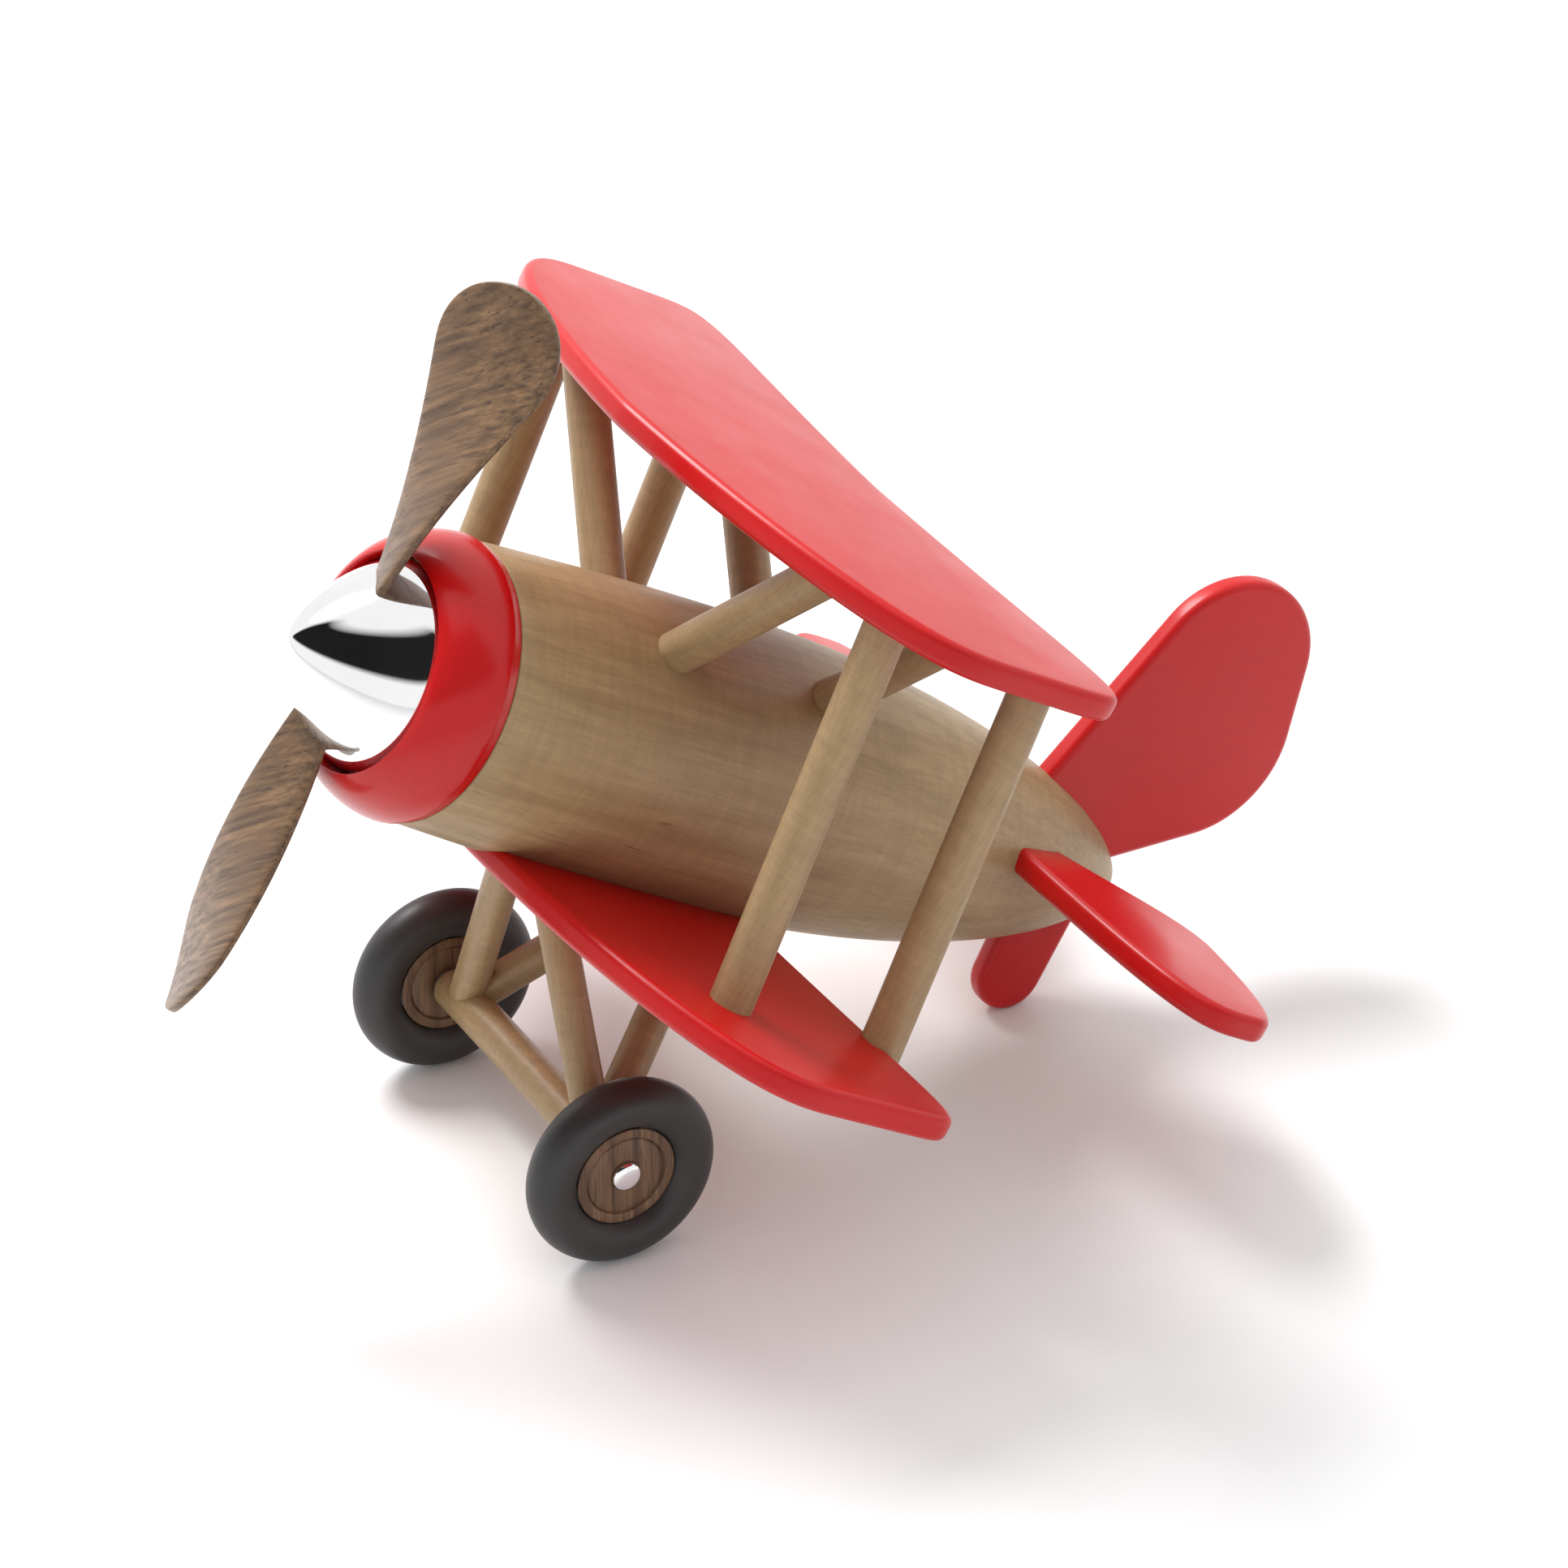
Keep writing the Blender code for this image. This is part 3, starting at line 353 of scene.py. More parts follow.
def walnut(name, seed, turn=(0, 0, 0), fine=1.0):
    """Oiled walnut: strong dark streaks along Z, with open pores."""
    graph = Graph(name)
    shift = (seed * 2.3, seed * 4.1, seed * 1.7)
    broad = graph.noise(graph.place((130 * fine, 130 * fine, 9), shift, turn), 3, 0.5, 0.3)
    streak = graph.noise(graph.place((620 * fine, 620 * fine, 15), shift, turn), 4, 0.6, 0.25)
    fibre = graph.noise(graph.place((1900, 1900, 90), shift, turn), 3, 0.6, 0.1)
    pore = graph.noise(graph.place((1300, 1300, 70), shift, turn), 2, 0.5, 0.2)
    pale, mid, dark = rgb(138, 106, 76), rgb(116, 88, 62), rgb(82, 59, 42)
    tone = graph.ramp(streak, [(0.34, dark), (0.5, mid), (0.66, pale)])
    tone = graph.mix(graph.span(broad, 0.38, 0.66, 0.0, 0.55), tone, (*rgb(98, 72, 50), 1))
    tone = graph.mix(0.4, tone, graph.ramp(fibre, [(0.32, 0.2), (0.6, 0.6), (0.72, 0.7)]), "OVERLAY")
    hole = graph.span(pore, 0.63, 0.70)
    tone = graph.mix(graph.maths("MULTIPLY", hole, 0.65), tone, (*rgb(48, 33, 24), 1))
    height = graph.maths("SUBTRACT", graph.maths("MULTIPLY", fibre, 0.6), hole)
    graph.bump(height, 0.28, 0.12 * MM)
    rough = graph.span(streak, 0.35, 0.65, 0.48, 0.36)
    return graph.finish(tone, rough, Specular_IOR_Level=0.45, Coat_Weight=0.15, Coat_Roughness=0.25)


def red_paint(name, seed, rough, coat):
    """Brushed satin paint over wood, under a clear coat with a faint orange peel."""
    graph = Graph(name)
    shift = (seed * 2.9, seed * 5.1, seed * 1.3)
    cloud = graph.noise(graph.place((32, 32, 32), shift), 3, 0.5)
    grain = graph.noise(graph.place((900, 60, 900), shift), 3, 0.55, 0.2)
    peel = graph.noise(graph.place((420, 420, 420), shift), 2, 0.5)
    tone = graph.mix(graph.span(cloud, 0.3, 0.7), (*rgb(190, 8, 12), 1), (*rgb(197, 13, 15), 1))
    tone = graph.mix(0.06, tone, graph.ramp(grain, [(0.35, 0.3), (0.65, 0.7)]), "OVERLAY")
    height = graph.maths("ADD", graph.maths("MULTIPLY", grain, 0.35), peel)
    graph.bump(height, 0.06, 0.1 * MM)
    roughness = graph.span(graph.noise(graph.place((70, 70, 70), shift), 3), 0.3, 0.7, rough, rough + 0.07)
    return graph.finish(tone, roughness, Specular_IOR_Level=0.32, Coat_Weight=coat, Coat_Roughness=0.14)


def chrome(name, roughness):
    """Polished plate with hair scratches that only show in the highlights."""
    graph = Graph(name)
    hair = graph.noise(graph.place((2600, 140, 2600), (1, 2, 3)), 2, 0.5, 0.5)
    smear = graph.noise(graph.place((60, 60, 60), (4, 1, 2)), 3, 0.5)
    graph.bump(hair, 0.015, 0.05 * MM)
    tone = graph.mix(graph.span(smear, 0.3, 0.7), (0.88, 0.88, 0.89, 1), (0.94, 0.94, 0.94, 1))
    return graph.finish(tone, graph.span(smear, 0.3, 0.7, roughness, roughness + 0.03), Metallic=1.0)


def steel(name):
    """Turned bright steel with fine tool rings."""
    graph = Graph(name)
    rings = graph.noise(graph.place((3000, 3000, 200)), 2, 0.5)
    graph.bump(rings, 0.08, 0.05 * MM)
    tone = graph.mix(graph.span(rings, 0.3, 0.7), (0.5, 0.5, 0.51, 1), (0.62, 0.62, 0.63, 1))
    return graph.finish(tone, graph.span(rings, 0.3, 0.7, 0.24, 0.36), Metallic=1.0)


def rubber(name):
    """Satin rubber with a fine moulded skin and a little dust."""
    graph = Graph(name)
    skin = graph.noise(graph.place((2400, 2400, 2400)), 3, 0.6)
    dust = graph.noise(graph.place((75, 75, 75)), 4, 0.6)
    tone = graph.mix(graph.span(dust, 0.4, 0.75), (*rgb(47, 46, 46), 1), (*rgb(56, 55, 54), 1))
    graph.bump(skin, 0.12, 0.08 * MM)
    return graph.finish(tone, graph.span(dust, 0.3, 0.7, 0.42, 0.52), Specular_IOR_Level=0.5)


# ---------------------------------------------------------------- shape kit


def object_of(name, bm, place, crease=CREASE):
    bmesh.ops.recalc_face_normals(bm, faces=bm.faces)
    mesh = bpy.data.meshes.new(name)
    bm.to_mesh(mesh)
    bm.free()
    mesh.shade_smooth()
    mesh.set_sharp_from_angle(angle=math.radians(crease))
    obj = bpy.data.objects.new(name, mesh)
    bpy.context.scene.collection.objects.link(obj)
    obj.matrix_world = place
    return obj


def stitched(bm, rings, closed_path=False):
    """Joins rings of vertices with quads. A ring of one vertex is a pole."""
    pairs = list(zip(rings, rings[1:]))
    if closed_path:
        pairs.append((rings[-1], rings[0]))
    for first, second in pairs:
        count = max(len(first), len(second))
        for i in range(count):
            j = (i + 1) % count
            corners = [first[i % len(first)], first[j % len(first)]]
            corners += [second[j % len(second)], second[i % len(second)]]
            bm.faces.new(list(dict.fromkeys(corners)))


def turned(name, profile, place, segments, closed=False, crease=CREASE):
    """A solid turned about its own Z from (radius, height) points."""
    bm = bmesh.new()
    rings = []
    for radius, height in profile:
        if radius == 0:
            rings.append([bm.verts.new((0, 0, height))])
            continue
        turns = (math.tau * i / segments for i in range(segments))
        rings.append([bm.verts.new((radius * math.cos(t), radius * math.sin(t), height)) for t in turns])
    stitched(bm, rings, closed)
    return object_of(name, bm, place, crease)


def arc(centre, radius, start, end, steps):
    return [
        Vector((centre[0] + radius * math.cos(angle), centre[1] + radius * math.sin(angle)))
        for angle in (start + (end - start) * step / steps for step in range(steps + 1))
    ]


def even(outline, spacing):
    """The closed outline again, with points at an even spacing."""
    loop = [*outline, outline[0]]
    lengths = [(b - a).length for a, b in zip(loop, loop[1:])]
    total = sum(lengths)
    count = max(int(total / spacing), FEWEST_OUTLINE_POINTS)
    points, walked, i = [], 0.0, 0
    for k in range(count):
        target = total * k / count
        while walked + lengths[i] < target:
            walked += lengths[i]
            i += 1
        points.append(loop[i].lerp(loop[i + 1], (target - walked) / lengths[i]))
    return points


def hull(points):
    """The anticlockwise outline that runs tightly round the points."""
    ordered = sorted({(round(point.x, 7), round(point.y, 7)) for point in points})
    outline = []
    for run in (ordered, ordered[::-1]):
        chain = []
        for point in (Vector(place) for place in run):
            while len(chain) > 1 and (chain[-1] - chain[-2]).cross(point - chain[-1]) <= 0:
                chain.pop()
            chain.append(point)
        outline += chain[:-1]
    return outline


def grown(outline, distance):
    """The anticlockwise outline moved outward by the distance, or inward where it is negative."""
    moved = []
    for before, point, after in zip(outline[-1:] + outline[:-1], outline, outline[1:] + outline[:1]):
        first, second = (point - before).normalized(), (after - point).normalized()
        normals = Vector((first.y, -first.x)) + Vector((second.y, -second.x))
        moved.append(point + normals * (2 * distance / normals.length_squared))
    return moved


def unlooped(points):
    """The outline with each small loop closed at the spot where it crosses itself. Setting an outline in by
    more than the radius of one of its corners makes such a loop."""
    points, count = list(points), len(points)
    for i in range(count):
        for step in range(LOOP_REACH, 1, -1):
            j = i + step
            spot = geometry.intersect_line_line_2d(points[i], points[(i + 1) % count],
                                                   points[j % count], points[(j + 1) % count])
            if spot:
                for k in range(i + 1, j + 1):
                    points[k % count] = spot
                break
    return points


def rounded_board(name, outline, place, thickness, rounding):
    """A board with softly rounded edges. The outline runs anticlockwise in its own XY plane. The mesh itself
    is turned, so that the board's box is as tight as the board."""
    outline = even(outline, OUTLINE_SPACING)
    steps = ROUNDING_STEPS
    bm = bmesh.new()
    rings = []
    for half in (1, -1):
        for k in range(steps + 1):
            angle = math.pi / 2 * (k if half > 0 else steps - k) / steps
            inset = rounding * (1 - math.sin(angle))
            height = half * (thickness / 2 - rounding * (1 - math.cos(angle)))
            rings.append([bm.verts.new((p.x, p.y, height)) for p in unlooped(grown(outline, -inset))])
    stitched(bm, rings)
    bm.faces.new(rings[0])
    bm.faces.new(list(reversed(rings[-1])))
    bmesh.ops.remove_doubles(bm, verts=bm.verts, dist=SAME_SPOT)
    bm.transform(place)
    return object_of(name, bm, Matrix.Identity(4), BOARD_CREASE)


def dowel(name, start, end, radius, start_plane=None, end_plane=None):
    """A dowel whose own Z is its length. An end with a plane is cut at that height of the airframe."""
    start, end = Vector(start), Vector(end)
    along = (end - start).normalized()
    length = (end - start).length
    place = Matrix.Translation(start) @ along.to_track_quat("Z", "Y").to_matrix().to_4x4()

    def end_height(x, y, height, plane):
        """Height, in the dowel's own axes, at which its side line at (x, y) ends."""
        return height if plane is None else height + (plane - (place @ Vector((x, y, height))).z) / along.z

    bm = bmesh.new()
    turns = [math.tau * i / DOWEL_SIDES for i in range(DOWEL_SIDES)]
    sides = [(radius * math.cos(turn), radius * math.sin(turn)) for turn in turns]
    spans = [(end_height(x, y, 0, start_plane), end_height(x, y, length, end_plane)) for x, y in sides]
    rings = []
    for k in range(DOWEL_RINGS + 1):
        share = k / DOWEL_RINGS
        rings.append([bm.verts.new((x, y, a + (b - a) * share)) for (x, y), (a, b) in zip(sides, spans)])
    stitched(bm, rings)
    bottom = bm.faces.new(rings[0])
    top = bm.faces.new(list(reversed(rings[-1])))
    rims = list({edge for face in (bottom, top) for edge in face.edges})
    bmesh.ops.bevel(bm, geom=rims, offset=DOWEL_EASE, segments=2, affect="EDGES", profile=0.5)
    return object_of(name, bm, AIRFRAME @ place, DOWEL_CREASE)


def dressed(obj, material, body, slot, *nodes):
    obj.data.materials.clear()
    obj.data.materials.append(material)
    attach(obj, body)
    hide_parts(*nodes)


def airframe(x=0.0, y=0.0, z=0.0):
    return AIRFRAME @ Matrix.Translation((x, y, z))


FORWARD = Matrix.Rotation(math.pi / 2, 4, "X")  # turns +Z to point out of the nose
# Turns the XY plane into the YZ plane
UPRIGHT = Matrix.Rotation(math.pi / 2, 4, "Z") @ Matrix.Rotation(math.pi / 2, 4, "X")
SIDEWAYS = {1: Matrix.Rotation(math.pi / 2, 4, "Y"), -1: Matrix.Rotation(-math.pi / 2, 4, "Y")}


# ---------------------------------------------------------------- fuselage and cowl


def fuselage_radius(y):
    if y < FUSELAGE_WIDEST_Y:
        share = (FUSELAGE_WIDEST_Y - y) / (FUSELAGE_WIDEST_Y - FUSELAGE_FRONT_Y)
        return FUSELAGE_RADIUS - (FUSELAGE_RADIUS - NOSE_RADIUS) * share**2
    share = (y - FUSELAGE_WIDEST_Y) / (FUSELAGE_TAIL_Y - FUSELAGE_WIDEST_Y)
    power, root = TAIL_POWERS
    return FUSELAGE_RADIUS * max(1 - share**power, 0) ** root


def make_fuselage():
    front = FUSELAGE_FRONT_Y
    spigot = COWL_INNER_RADIUS - GAP
    tip = SPIGOT_LENGTH - front
    profile = [(0, tip), (spigot - EASE, tip), (spigot, tip - EASE), (spigot, -front)]
    profile += [(NOSE_RADIUS - inward * EASE, -front - back * EASE) for inward, back in NOSE_EASE]
    start = front + EASE
    nose_ys = [start + (FUSELAGE_WIDEST_Y - start) * step / NOSE_STEPS for step in range(NOSE_STEPS)]
    profile += [(fuselage_radius(y), -y) for y in nose_ys]
    for step in range(TAIL_STEPS):
        share = math.sin(math.pi / 2 * step / TAIL_STEPS)
        y = FUSELAGE_WIDEST_Y + (FUSELAGE_TAIL_Y - FUSELAGE_WIDEST_Y) * share
        profile.append((fuselage_radius(y), -y))
    profile.append((0, -FUSELAGE_TAIL_Y))
    body = turned("fuselage_body", profile, airframe(z=FUSELAGE_Z) @ FORWARD, LARGE_TURNING)
    dressed(body, light_wood("fuselage_wood", 1.0), "airframe", "fuselage_wood", "fuselage")


def make_cowl():
    back = FUSELAGE_FRONT_Y - GAP
    bulge_y = back - COWL_BULGE
    depth = bulge_y - COWL_FRONT_Y
    rise = COWL_OUTER_RADIUS - COWL_INNER_RADIUS
    power = 2 / COWL_FULLNESS
    first, steps = COWL_STEPS
    profile = [(COWL_INNER_RADIUS + out * EASE, -COWL_FRONT_Y - behind * EASE) for out, behind in COWL_LIP]
    for step in range(first, steps):
        angle = math.pi / 2 * step / steps
        out, ahead = math.sin(angle) ** power, math.cos(angle) ** power
        profile.append((COWL_INNER_RADIUS + rise * out, -bulge_y + depth * ahead))
    centre = (COWL_OUTER_RADIUS - COWL_BULGE, -bulge_y)
    profile += arc(centre, COWL_BULGE, 0, -COWL_BACK_TURN, COWL_BACK_STEPS)
    profile = [(p[0], max(p[1], -back)) for p in profile]
    profile += [(profile[-1][0] - COWL_BACK_EASE, -back), (COWL_INNER_RADIUS, -back)]
    place = airframe(z=FUSELAGE_Z) @ FORWARD
    ring = turned("cowl_ring_painted", profile, place, LARGE_TURNING, closed=True)
    dressed(ring, red_paint("cowl_paint", 2.0, 0.24, 0.2), "airframe", "cowl_paint", "cowl_ring")


# ---------------------------------------------------------------- propeller


def spinner_radius(y):
    share = (SPINNER_BASE_Y - y) / (SPINNER_BASE_Y - SPINNER_TIP_Y)
    power, root = SPINNER_POWERS
    return SPINNER_RADIUS * max(1 - share**power, 0) ** root


def make_spinner():
    cavity_y = BLADE_Y - PROP_HUB_FRONT - GAP
    steps = SPINNER_STEPS
    ys = [SPINNER_TIP_Y + (SPINNER_BASE_Y - SPINNER_TIP_Y) * (k / steps) ** 2 for k in range(steps + 1)]
    profile = [(spinner_radius(y), BLADE_Y - y) for y in ys]
    steps = SPINNER_INNER_STEPS
    inner_ys = [SPINNER_BASE_Y + (cavity_y - SPINNER_BASE_Y) * k / steps for k in range(steps + 1)]
    profile += [(spinner_radius(y) - SPINNER_WALL, BLADE_Y - y) for y in inner_ys]
    profile.append((0, BLADE_Y - cavity_y))
    place = airframe(y=BLADE_Y, z=FUSELAGE_Z) @ FORWARD
    spinner = turned("spinner_shell", profile, place, LARGE_TURNING)
    dressed(spinner, chrome("spinner_chrome", 0.045), "propeller", "spinner_chrome", "spinner")


def blade_sections():
    """(distance along the blade, half width, half thickness) from the root to the tip."""
    slope = (BLADE_TIP_RADIUS - BLADE_ROOT_HALF_WIDTH) / (BLADE_LENGTH - BLADE_TIP_RADIUS - BLADE_ROOT)
    lean = math.atan(slope)
    centre = BLADE_LENGTH - BLADE_TIP_RADIUS
    shoulder, shoulder_width = centre - BLADE_TIP_RADIUS * math.sin(lean), BLADE_TIP_RADIUS * math.cos(lean)
    half = BLADE_THICKNESS / 2
    sections = [(BLADE_ROOT, BLADE_ROOT_HALF_WIDTH, half)]
    for k in range(1, BLADE_STEPS):
        share = k / BLADE_STEPS
        width = BLADE_ROOT_HALF_WIDTH + (shoulder_width - BLADE_ROOT_HALF_WIDTH) * share
        sections.append((BLADE_ROOT + (shoulder - BLADE_ROOT) * share, width, half))
    for k in range(BLADE_TIP_STEPS):
        angle = -lean + (math.pi / 2 + lean) * k / BLADE_TIP_STEPS
        width = BLADE_TIP_RADIUS * math.cos(angle)
        thickness = min(half, BLADE_TIP_THINNING * width)
        sections.append((centre + BLADE_TIP_RADIUS * math.sin(angle), width, thickness))
    return sections


def make_blades():
    across, through = BLADE_FULLNESS
    for turn, word in ((0, "a"), (math.pi, "b")):
        bm = bmesh.new()
        rings = []
        for distance, width, half in blade_sections():
            share = (distance - BLADE_ROOT) / (BLADE_LENGTH - BLADE_ROOT)
            twist = BLADE_TWIST_ROOT + (BLADE_TWIST_TIP - BLADE_TWIST_ROOT) * share
            ring = []
            for i in range(BLADE_SIDES):
                angle = math.tau * i / BLADE_SIDES
                c, s = math.cos(angle), math.sin(angle)
                x = width * math.copysign(abs(c) ** across, c)
                off = half * math.copysign(abs(s) ** through, s)
                ring.append(
                    bm.verts.new((
                        x * math.cos(twist) + off * math.sin(twist),
                        x * math.sin(twist) - off * math.cos(twist),
                        distance,
                    ))
                )
            rings.append(ring)
        rings.append([bm.verts.new((0, 0, BLADE_LENGTH))])
        stitched(bm, rings)
        bm.faces.new(rings[0])
        place = airframe(y=BLADE_Y, z=FUSELAGE_Z) @ Matrix.Rotation(turn, 4, "Y")
        blade = object_of(f"blade_{word}_shaped", bm, place, BLADE_CREASE)
        grain = walnut(f"blade_{word}_walnut", 3.0 + turn, (0, math.radians(-50), 0))
        dressed(blade, grain, "propeller", "propeller_walnut", f"propeller_blade_{word}")


# ---------------------------------------------------------------- wings and tail


def edge_to_tip(edge, tip, corner):
    """(share of length, share of chord) from the root along an edge, and round its corner to the tip."""
    turns = [math.pi / 2 * step / CORNER_STEPS for step in range(1, CORNER_STEPS + 1)]
    shares = [math.sin(turn) ** (2 / corner) for turn in turns]
    shares = [shares[0] * step / EDGE_STEPS for step in range(EDGE_STEPS)] + shares
    return [(u, tip + (edge(u) - tip) * max(1 - u**corner, 0) ** (1 / corner)) for u in shares]


def wing_outline(plan, half_span, lead_y, trail_y):
    bow = plan["bow"]
    front = edge_to_tip(lambda u: plan["sweep"] * u**bow, plan["tip"], plan["front_corner"])
    back = edge_to_tip(lambda u: 1 + plan["flare"] * u**bow, plan["tip"], plan["back_corner"])
    left = [Vector((half_span * u, lead_y + (trail_y - lead_y) * v)) for u, v in front + back[-2::-1]]
    return left + [Vector((-point.x, point.y)) for point in reversed(left[1:-1])]


def stabilizer_outline():
    swell_end, width = STABILIZER_SWELL

    def back_edge(u):
        share = min(u / swell_end, 1)
        return STABILIZER_ROOT + (width - STABILIZER_ROOT) * share**2 * (3 - 2 * share)

    front = edge_to_tip(lambda u: 0, STABILIZER_TIP, STABILIZER_CORNERS[0])
    back = edge_to_tip(back_edge, STABILIZER_TIP, STABILIZER_CORNERS[1])
    length = STABILIZER_HALF_SPAN - STABILIZER_INNER_X
    return [
        Vector((STABILIZER_INNER_X + length * u, STABILIZER_LEAD_Y + STABILIZER_CHORD * v))
        for u, v in front + back[::-1][1:]
    ]


def fin_outline():
    crown = arc(FIN_CROWN, FIN_CROWN_RADIUS, 0, math.tau, FIN_STEPS)
    heel = arc(FIN_HEEL, FIN_HEEL_RADIUS, 0, math.tau, FIN_STEPS)
    return hull(crown + heel + [Vector(foot) for foot in FIN_FEET])


def painted_board(name, outline, place, node, seed):
    board = rounded_board(name, outline, place, BOARD, BOARD_ROUNDING)
    dressed(board, red_paint(f"{node}_paint", seed, 0.32, 0.14), "airframe", "red_paint", node)


def make_boards():
    upper = wing_outline(UPPER_PLAN, UPPER_HALF_SPAN, UPPER_LEAD_Y, UPPER_TRAIL_Y)
    place = airframe(z=UPPER_WING_TOP - BOARD / 2) @ Matrix.Rotation(UPPER_WING_ROLL, 4, "Y")
    painted_board("upper_wing_board", upper, place, "upper_wing", 1.0)
    lower = wing_outline(LOWER_PLAN, LOWER_HALF_SPAN, LOWER_LEAD_Y, LOWER_TRAIL_Y)
    painted_board("lower_wing_board", lower, airframe(z=LOWER_WING_TOP - BOARD / 2), "lower_wing", 2.0)
    painted_board("fin_board", fin_outline(), AIRFRAME @ UPRIGHT, "fin", 3.0)

    height = (SKID_RADIUS - WHEEL_RADIUS + SKID_Y * math.sin(PITCH)) / math.cos(PITCH)
    ground = PITCH - math.pi / 2
    outline = arc((SKID_Y, height), SKID_RADIUS, -math.pi, ground, SKID_STEPS[0])
    outline += arc((SKID_Y, height), SKID_RADIUS, ground, 0, SKID_STEPS[1])[1:]
    for top_y in (SKID_Y + SKID_RADIUS, SKID_Y - SKID_ROOT * SKID_RADIUS):
        outline.append(Vector((top_y, SKID_TOP)))
    painted_board("tail_skid_board", outline, AIRFRAME @ UPRIGHT, "tail_skid", 4.0)

    outline = stabilizer_outline()
    for side, word in SIDES:
        points = outline if side > 0 else [Vector((-p.x, p.y)) for p in reversed(outline)]
        place = airframe(z=STABILIZER_TOP - BOARD / 2)
        painted_board(f"stabilizer_{word}_board", points, place, f"stabilizer_{word}", 5.0 + side)


# ---------------------------------------------------------------- struts and landing gear


def strut(node, seed, *ends, **planes):
    piece = dowel(node + "_dowel", *ends, **planes)
    grain = light_wood(node + "_wood", seed, slant=DOWEL_FIGURE_SLANT)
    dressed(piece, grain, "airframe", "dowel_wood", node)


def upper_underside(x):
    """Height of the upper wing's underside at a distance from the centre line."""
    return UPPER_WING_TOP - BOARD - x * math.tan(UPPER_WING_ROLL)


def make_struts():
    foot = LOWER_WING_TOP - SOCKET_DEPTH
    seed = 10.0
    for side, word in SIDES:
        head = upper_underside(side * STRUT_X) + SOCKET_DEPTH
        for place, line_y in (("front", FRONT_STRUT_Y), ("rear", REAR_STRUT_Y)):
            start = (side * STRUT_X, line_y - STRUT_LEAN * foot, foot)
            end = (side * STRUT_X, line_y - STRUT_LEAN * head, head)
            node = f"wing_strut_{place}_{word}"
            strut(node, seed, start, end, STRUT_RADIUS, start_plane=foot, end_plane=head)
            seed += 1
        underside = upper_underside(side * CABANE_TOP_X)
        head = underside + SOCKET_DEPTH
        for place, line_y in (("front", FRONT_CABANE_Y), ("rear", REAR_CABANE_Y)):
            top = Vector((side * CABANE_TOP_X, line_y - STRUT_LEAN * underside, underside))
            along = Vector((side * CABANE_SPLAY, -STRUT_LEAN, 1))
            start, end = cabane_foot(top, along), top + along * SOCKET_DEPTH
            strut(f"cabane_strut_{place}_{word}", seed, start, end, STRUT_RADIUS, end_plane=head)
            seed += 1
        under = LOWER_WING_TOP - BOARD
        head = under + LEG_SOCKET_DEPTH
        foot_point = Vector((side * LEG_FOOT_X, 0, 0))
        for place, top_y in (("front", FRONT_LEG_TOP_Y), ("rear", REAR_LEG_TOP_Y)):
            way = Vector((side * LEG_TOP_X, top_y, under)) - foot_point
            end = foot_point + way * (head / under)
            start = foot_point + way.normalized() * LEG_START * BEAM_RADIUS
            strut(f"landing_leg_{place}_{word}", seed, start, end, LEG_RADIUS, end_plane=head)
            seed += 1
    strut("axle_beam", seed, (-BEAM_END, 0, 0), (BEAM_END, 0, 0), BEAM_RADIUS)


def cabane_foot(top, along):
    """The sunk end of a cabane strut, found by walking down from its top to the fuselage's skin."""
    direction = along.normalized()
    point = top.copy()
    while math.hypot(point.x, point.z - FUSELAGE_Z) > fuselage_radius(point.y):
        point -= direction * CABANE_SEARCH_STEP
    return point - direction * CABANE_DEPTH


def make_axle_pins():
    head_x = HALF_TRACK + HUB_HALF_WIDTH - HUB_RECESS + GAP
    tip = BEAM_END - AXLE_PIN_DEPTH - head_x
    for side, word in SIDES:
        profile = []
        for step in range(CAP_STEPS):
            angle = math.pi / 2 * step / CAP_STEPS
            height = AXLE_HEAD_HEIGHT * math.cos(angle) ** CAP_FULLNESS
            profile.append((AXLE_HEAD_RADIUS * math.sin(angle), height))
        profile += [(AXLE_HEAD_RADIUS, 0), (AXLE_PIN_RADIUS, 0), (AXLE_PIN_RADIUS, tip), (0, tip)]
        pin = turned(f"axle_cap_{word}", profile, airframe(side * head_x) @ SIDEWAYS[side], CAP_TURNING)
        dressed(pin, chrome(f"axle_cap_{word}_chrome", 0.08), "airframe", "axle_chrome", f"axle_pin_{word}")


def hub_profile():
    bore = AXLE_PIN_RADIUS + GAP
    tyre_ring = WHEEL_RADIUS - TYRE_SECTION
    seat = TYRE_SECTION + GAP
    lip = HUB_HALF_WIDTH - HUB_RECESS
    edge = tyre_ring - math.sqrt(seat**2 - lip**2)
    rim_inner = edge - HUB_RIM
    groove = HUB_GROOVE / 2
    face = [(bore, lip - BORE_EASE[1]), (bore + BORE_EASE[0], lip), (rim_inner - 3 * groove, lip)]
    face += [(rim_inner - 2.2 * groove, lip - 0.3 * HUB_RECESS), (rim_inner - groove, lip - HUB_RECESS)]
    face += [(rim_inner, lip - 0.3 * HUB_RECESS)]
    steps = HUB_RIM_STEPS
    middle, half = (rim_inner + edge) / 2, (edge - rim_inner) / 2
    for step in range(steps + 1):
        angle = math.pi * (1 - step / steps)
        face.append((middle + half * math.cos(angle), lip + HUB_RECESS * math.sin(angle) ** HUB_RIM_FULLNESS))
    groove_wall = []
    for step in range(1, 2 * HUB_SEAT_STEPS):
        height = lip * (1 - step / HUB_SEAT_STEPS)
        groove_wall.append((tyre_ring - math.sqrt(seat**2 - height**2), height))
    return face + groove_wall + [(radius, -height) for radius, height in reversed(face)]


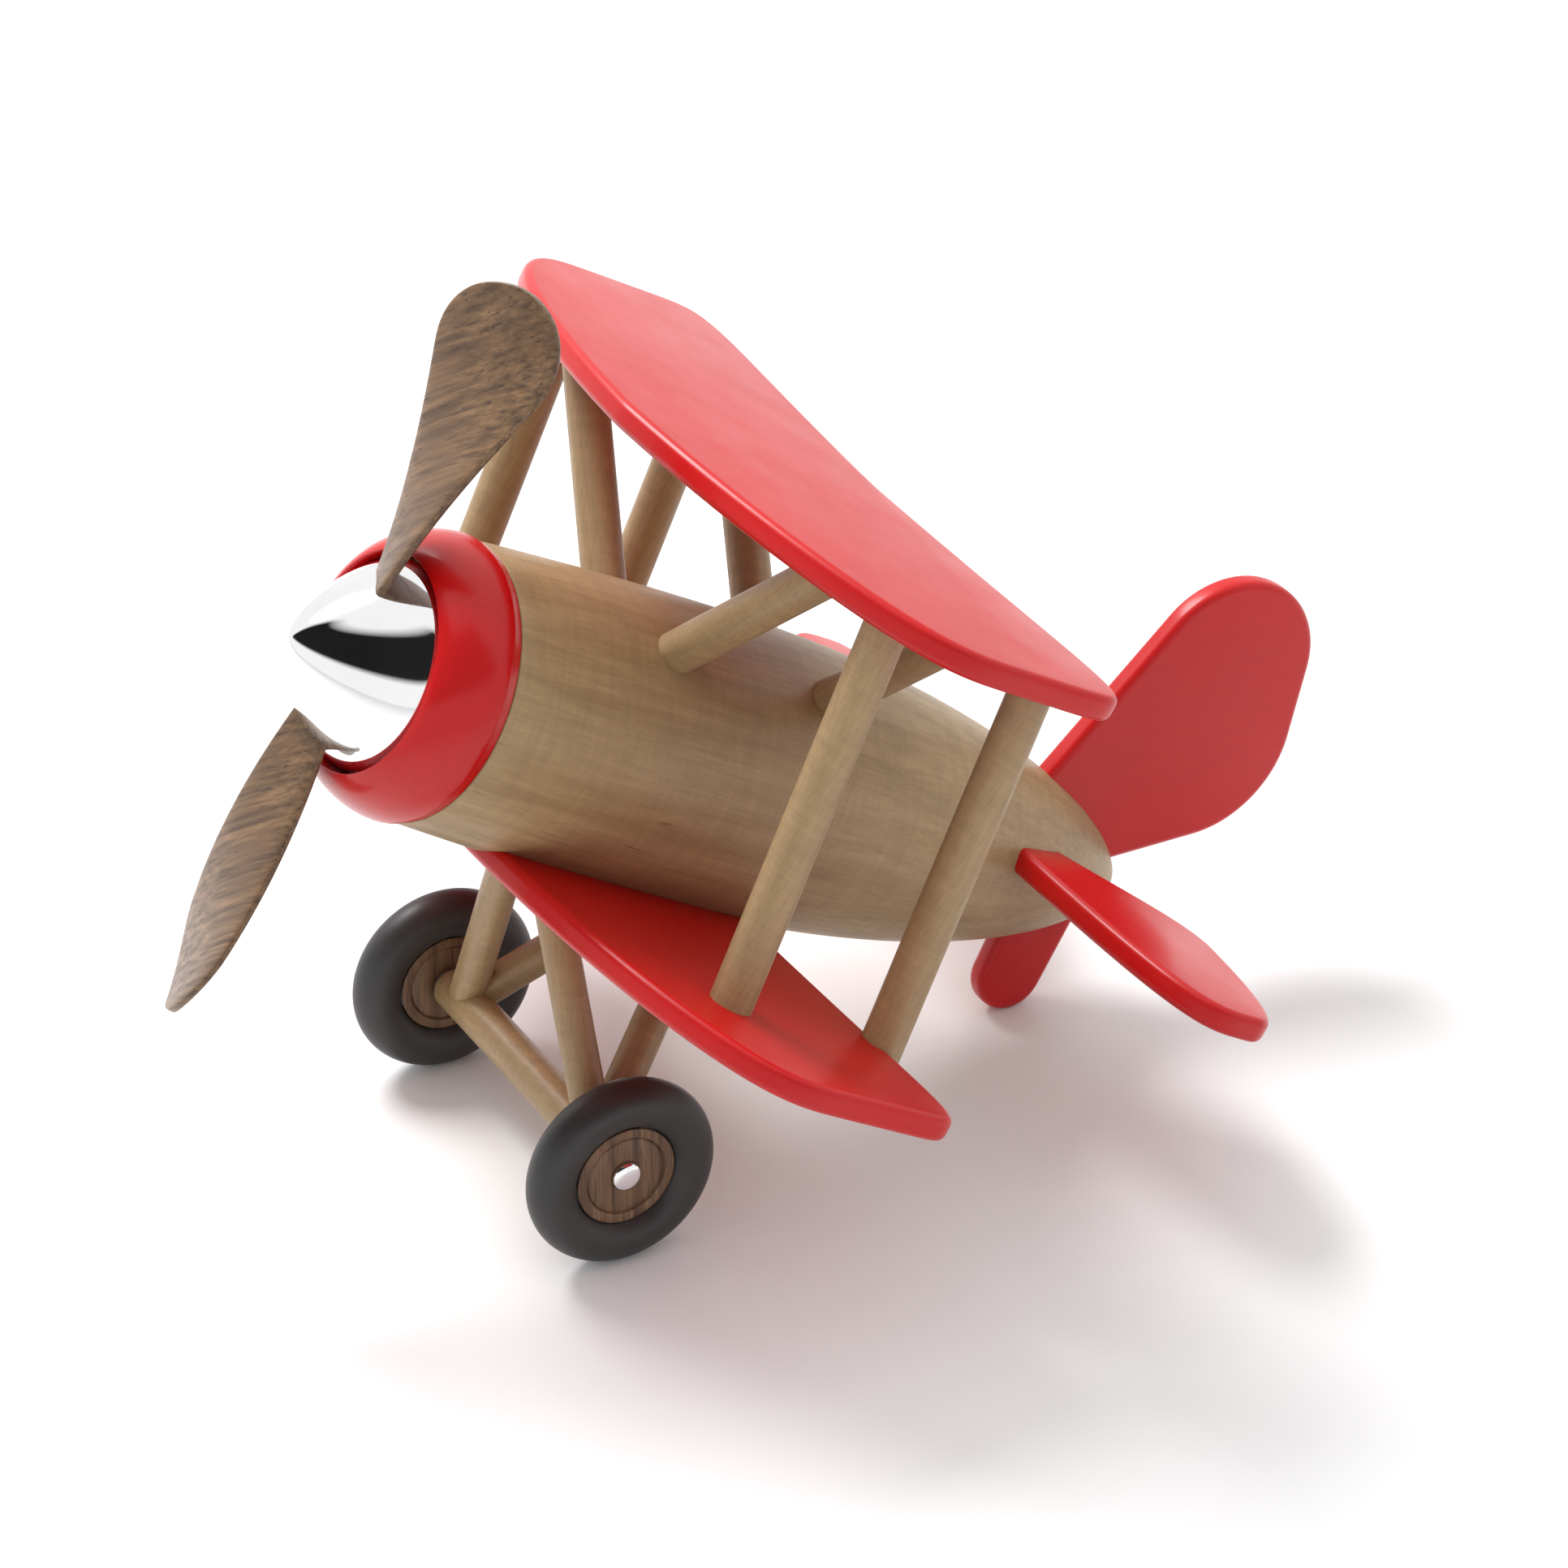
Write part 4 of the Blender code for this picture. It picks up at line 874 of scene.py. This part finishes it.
def make_wheels():
    for side, word in SIDES:
        place = Matrix.Translation(AXLE + Vector((side * HALF_TRACK, 0, 0))) @ SIDEWAYS[side]
        hub = turned(f"hub_{word}_turned", hub_profile(), place, HUB_TURNING, True, HUB_CREASE)
        grain = walnut(f"hub_{word}_walnut", 7.0 + side, (0, math.radians(90), math.radians(25)), 0.8)
        dressed(hub, grain, f"wheel_{word}", "hub_walnut", f"wheel_hub_{word}")
        ring = [
            (WHEEL_RADIUS - TYRE_SECTION + TYRE_SECTION * math.cos(t), TYRE_SECTION * math.sin(t))
            for t in (math.tau * i / TYRE_STEPS for i in range(TYRE_STEPS))
        ]
        tyre = turned(f"tyre_{word}_ring", ring, place, LARGE_TURNING, closed=True)
        dressed(tyre, rubber(f"tyre_{word}_rubber"), f"wheel_{word}", "rubber", f"tyre_{word}")


def dress_hidden_nodes():
    """The nodes inside the nose, the hubs and the fuselage keep their solids and get real finishes."""
    finishes = {"propeller_hub": walnut("propeller_hub_walnut", 5.0, (math.pi / 2, 0, 0))}
    for node in ("propeller_pin", "propeller_washer", "wheel_washer_left", "wheel_washer_right"):
        finishes[node] = steel(node + "_steel")
    for number, node in enumerate(("wing_peg_front", "wing_peg_rear")):
        finishes[node] = light_wood(node + "_wood", 30.0 + number)
    for node, material in finishes.items():
        for slot in bpy.data.objects[node].material_slots:
            slot.material = material


# ---------------------------------------------------------------- floor and light

WORLD_STRENGTH = 1.0
# Grey at each height of a direction, from 0 at the horizon to 1 overhead
SOFT_LIGHT = ((0.0, 0.03), (0.16, 0.03), (0.30, 1.0), (1.0, 1.0))
DARK_WALL = ((0.0, 1.0), (0.32, 1.0), (0.42, 0.012), (0.90, 0.012), (0.965, 1.0), (1.0, 1.0))
DARK_SIDE = (0.6, -0.8, 0.0)  # the way to the middle of the dark wall
DARK_EDGE = ((0.0, 0.0), (0.02, 0.0), (0.12, 1.0), (1.0, 1.0))  # share of the wall by how far a way faces it
# name, the way to it, distance, diameter, watts
LAMPS = (("key", (-0.96, -0.27, 1.35), 1.6, 0.8, 26.0),)
LAMP_AIM = (0, 0, 0.1)
FLOOR_RADIUS = 6.0
FLOOR_SIDES = 96


def make_surroundings():
    """White all round for the camera and for soft light. Gloss also sees the dark side of the studio, which
    stands between the white floor and the white ceiling."""
    world = bpy.data.worlds.new("studio")
    bpy.context.scene.world = world
    world.use_nodes = True
    nodes, links = world.node_tree.nodes, world.node_tree.links

    def ramp(value, stops):
        node = nodes.new("ShaderNodeValToRGB")
        links.new(value, node.inputs["Fac"])
        set_stops(node.color_ramp, stops)
        return node.outputs["Color"]

    def mix(share, first, second):
        node = nodes.new("ShaderNodeMix")
        node.data_type = "RGBA"
        for value, number in ((share, MIX_SHARE), (first, MIX_FIRST), (second, MIX_SECOND)):
            socket = node.inputs[number]
            if isinstance(value, bpy.types.NodeSocket):
                links.new(value, socket)
            else:
                socket.default_value = value
        return node.outputs[MIX_RESULT]

    way = nodes.new("ShaderNodeTexCoord").outputs["Generated"]
    split = nodes.new("ShaderNodeSeparateXYZ")
    links.new(way, split.inputs[0])
    facing = nodes.new("ShaderNodeVectorMath")
    facing.operation = "DOT_PRODUCT"
    links.new(way, facing.inputs[0])
    facing.inputs[1].default_value = DARK_SIDE
    path = nodes.new("ShaderNodeLightPath")
    white = (1, 1, 1, 1)
    soft = ramp(split.outputs["Z"], SOFT_LIGHT)
    gloss = mix(ramp(facing.outputs["Value"], DARK_EDGE), white, ramp(split.outputs["Z"], DARK_WALL))
    colour = mix(path.outputs["Is Glossy Ray"], soft, gloss)
    colour = mix(path.outputs["Is Camera Ray"], colour, white)
    background = nodes["Background"]
    links.new(colour, background.inputs["Color"])
    background.inputs["Strength"].default_value = WORLD_STRENGTH


def make_studio():
    bm = bmesh.new()
    bmesh.ops.create_circle(bm, cap_ends=True, segments=FLOOR_SIDES, radius=FLOOR_RADIUS)
    floor = object_of("floor", bm, Matrix.Identity(4))
    graph = Graph("floor_white")
    speck = graph.noise(graph.place((3, 3, 3)), 3)
    tone = graph.mix(graph.span(speck, 0.3, 0.7), (0.86, 0.86, 0.86, 1), (0.88, 0.88, 0.88, 1))
    floor.data.materials.append(graph.finish(tone, 0.42, Specular_IOR_Level=0.25))

    make_surroundings()
    for name, way, distance, size, power in LAMPS:
        lamp = bpy.data.lights.new(name, "AREA")
        lamp.shape = "DISK"
        lamp.size = size
        lamp.energy = power
        obj = bpy.data.objects.new(name, lamp)
        bpy.context.scene.collection.objects.link(obj)
        centre = Vector(LAMP_AIM)
        obj.location = centre + Vector(way).normalized() * distance
        obj.rotation_euler = (obj.location - centre).to_track_quat("Z", "Y").to_euler()
    bpy.context.scene.view_settings.view_transform = "Standard"


make_fuselage()
make_cowl()
make_spinner()
make_blades()
make_boards()
make_struts()
make_axle_pins()
make_wheels()
dress_hidden_nodes()
make_studio()
